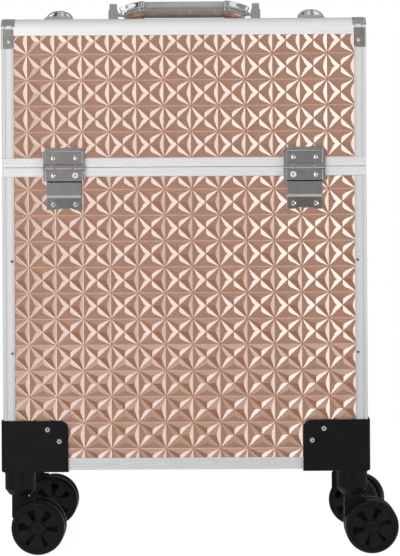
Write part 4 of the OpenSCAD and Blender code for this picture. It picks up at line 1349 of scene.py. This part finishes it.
def grey_levels(axis, levels):
    """Brightness that follows one axis of the direction, by (place, level) stops."""
    share = add_node(sky, "MapRange", value=direction[axis], from_min=-1.0).outputs["Result"]
    return ramp(sky, share, greys([((place + 1) / 2, level) for place, level in levels]))


def blend(factor, a, b):
    return add_node(sky, "Mix", factor=factor, a=a, b=b).outputs["Result"]


above = add_node(sky, "MapRange", value=direction["Z"], from_min=ceiling_from, from_max=ceiling_full)
room = blend(above.outputs["Result"], grey_levels("Z", studio), grey_levels("X", overhead))
daylight = add_node(sky, "MapRange", value=direction["Z"], from_max=ambient_end, to_min=ambient_side,
                    to_max=ambient_top)
ray = add_node(sky, "LightPath")
away_from_camera = blend(seen_by_metal(sky, ray), daylight.outputs["Result"], room)
background = sky.nodes["Background"]
background.inputs["Color"].default_value = (1, 1, 1, 1)
sky.links.new(blend(ray.outputs["Is Camera Ray"], away_from_camera, 1.0), background.inputs["Strength"])
print("world: ambient", ambient_side, "to", ambient_top, "and", len(studio + overhead), "levels for metal")


# %% Lamps
def softbox(name, place, target, width, height, radiance):
    """A rectangular lamp of the given brightness that faces a point."""
    lamp = bpy.data.lights.new(name, "AREA")
    lamp.shape = "RECTANGLE"
    lamp.size = width
    lamp.size_y = height
    lamp.energy = radiance * math.pi * width * height
    piece = bpy.data.objects.new(name, lamp)
    piece.location = place
    piece.rotation_euler = (Vector(target) - Vector(place)).to_track_quat("-Z", "Y").to_euler()
    piece.visible_camera = False
    bpy.context.scene.collection.objects.link(piece)


face_y = -half_d * MM
softbox("key_near", (-1.28, -4.22, 0.35), (0, face_y, 0.35), 0.55, 5.4, 3.3)
softbox("key_far", (-1.83, -4.01, 0.35), (0, face_y, 0.35), 0.6, 5.4, 2.3)
softbox("left_fill", (-1.72, -2.57, 0.22), (0, face_y, 0.22), 0.9, 0.4, 0.9)
softbox("left_high", (-1.72, -2.57, 0.66), (0, face_y, 0.66), 0.9, 0.44, 2.4)
softbox("left_low", (-1.72, -2.57, -0.22), (0, face_y, -0.22), 0.9, 0.44, 1.8)
softbox("right_fill", (2.1, -1.35, 0.35), (0, face_y, 0.26), 0.8, 1.4, 2.7)
softbox("strip_left", (-0.75, 0.1, 1.9), (-0.5, 0.1, 0.5), 2.8, 0.3, 1.0)
softbox("strip_right", (0.9, 0.1, 1.9), (0.5, 0.1, 0.5), 2.8, 0.45, 0.85)

# %% [markdown]
# ## Camera
# The picture was taken from straight in front, level, with a long lens. The case hangs below the horizon of
# the frame, so the lens is shifted and not tilted, which keeps the posts upright.

# %% Camera
photo_h = 556
focal_px = 2275.0
horizon_px = 215.0
camera_place = (0.0256, -2.235, 0.316)
yaw, roll = math.radians(0.30), math.radians(-0.33)
camera_data = bpy.data.cameras.new("camera")
camera_data.sensor_fit = "VERTICAL"
camera_data.sensor_height = 36.0
camera_data.lens = focal_px / photo_h * camera_data.sensor_height
camera_data.shift_y = (horizon_px - photo_h / 2) / photo_h
camera = bpy.data.objects.new("camera", camera_data)
camera.location = camera_place
level = Matrix.Rotation(math.radians(90), 3, "X")
camera.rotation_euler = (Matrix.Rotation(yaw, 3, "Z") @ level @ Matrix.Rotation(roll, 3, "Z")).to_euler()
bpy.context.scene.collection.objects.link(camera)
bpy.context.scene.camera = camera
bpy.context.scene.view_settings.view_transform = "Standard"
print("lens", round(camera_data.lens, 1), "shift", round(camera_data.shift_y, 3))
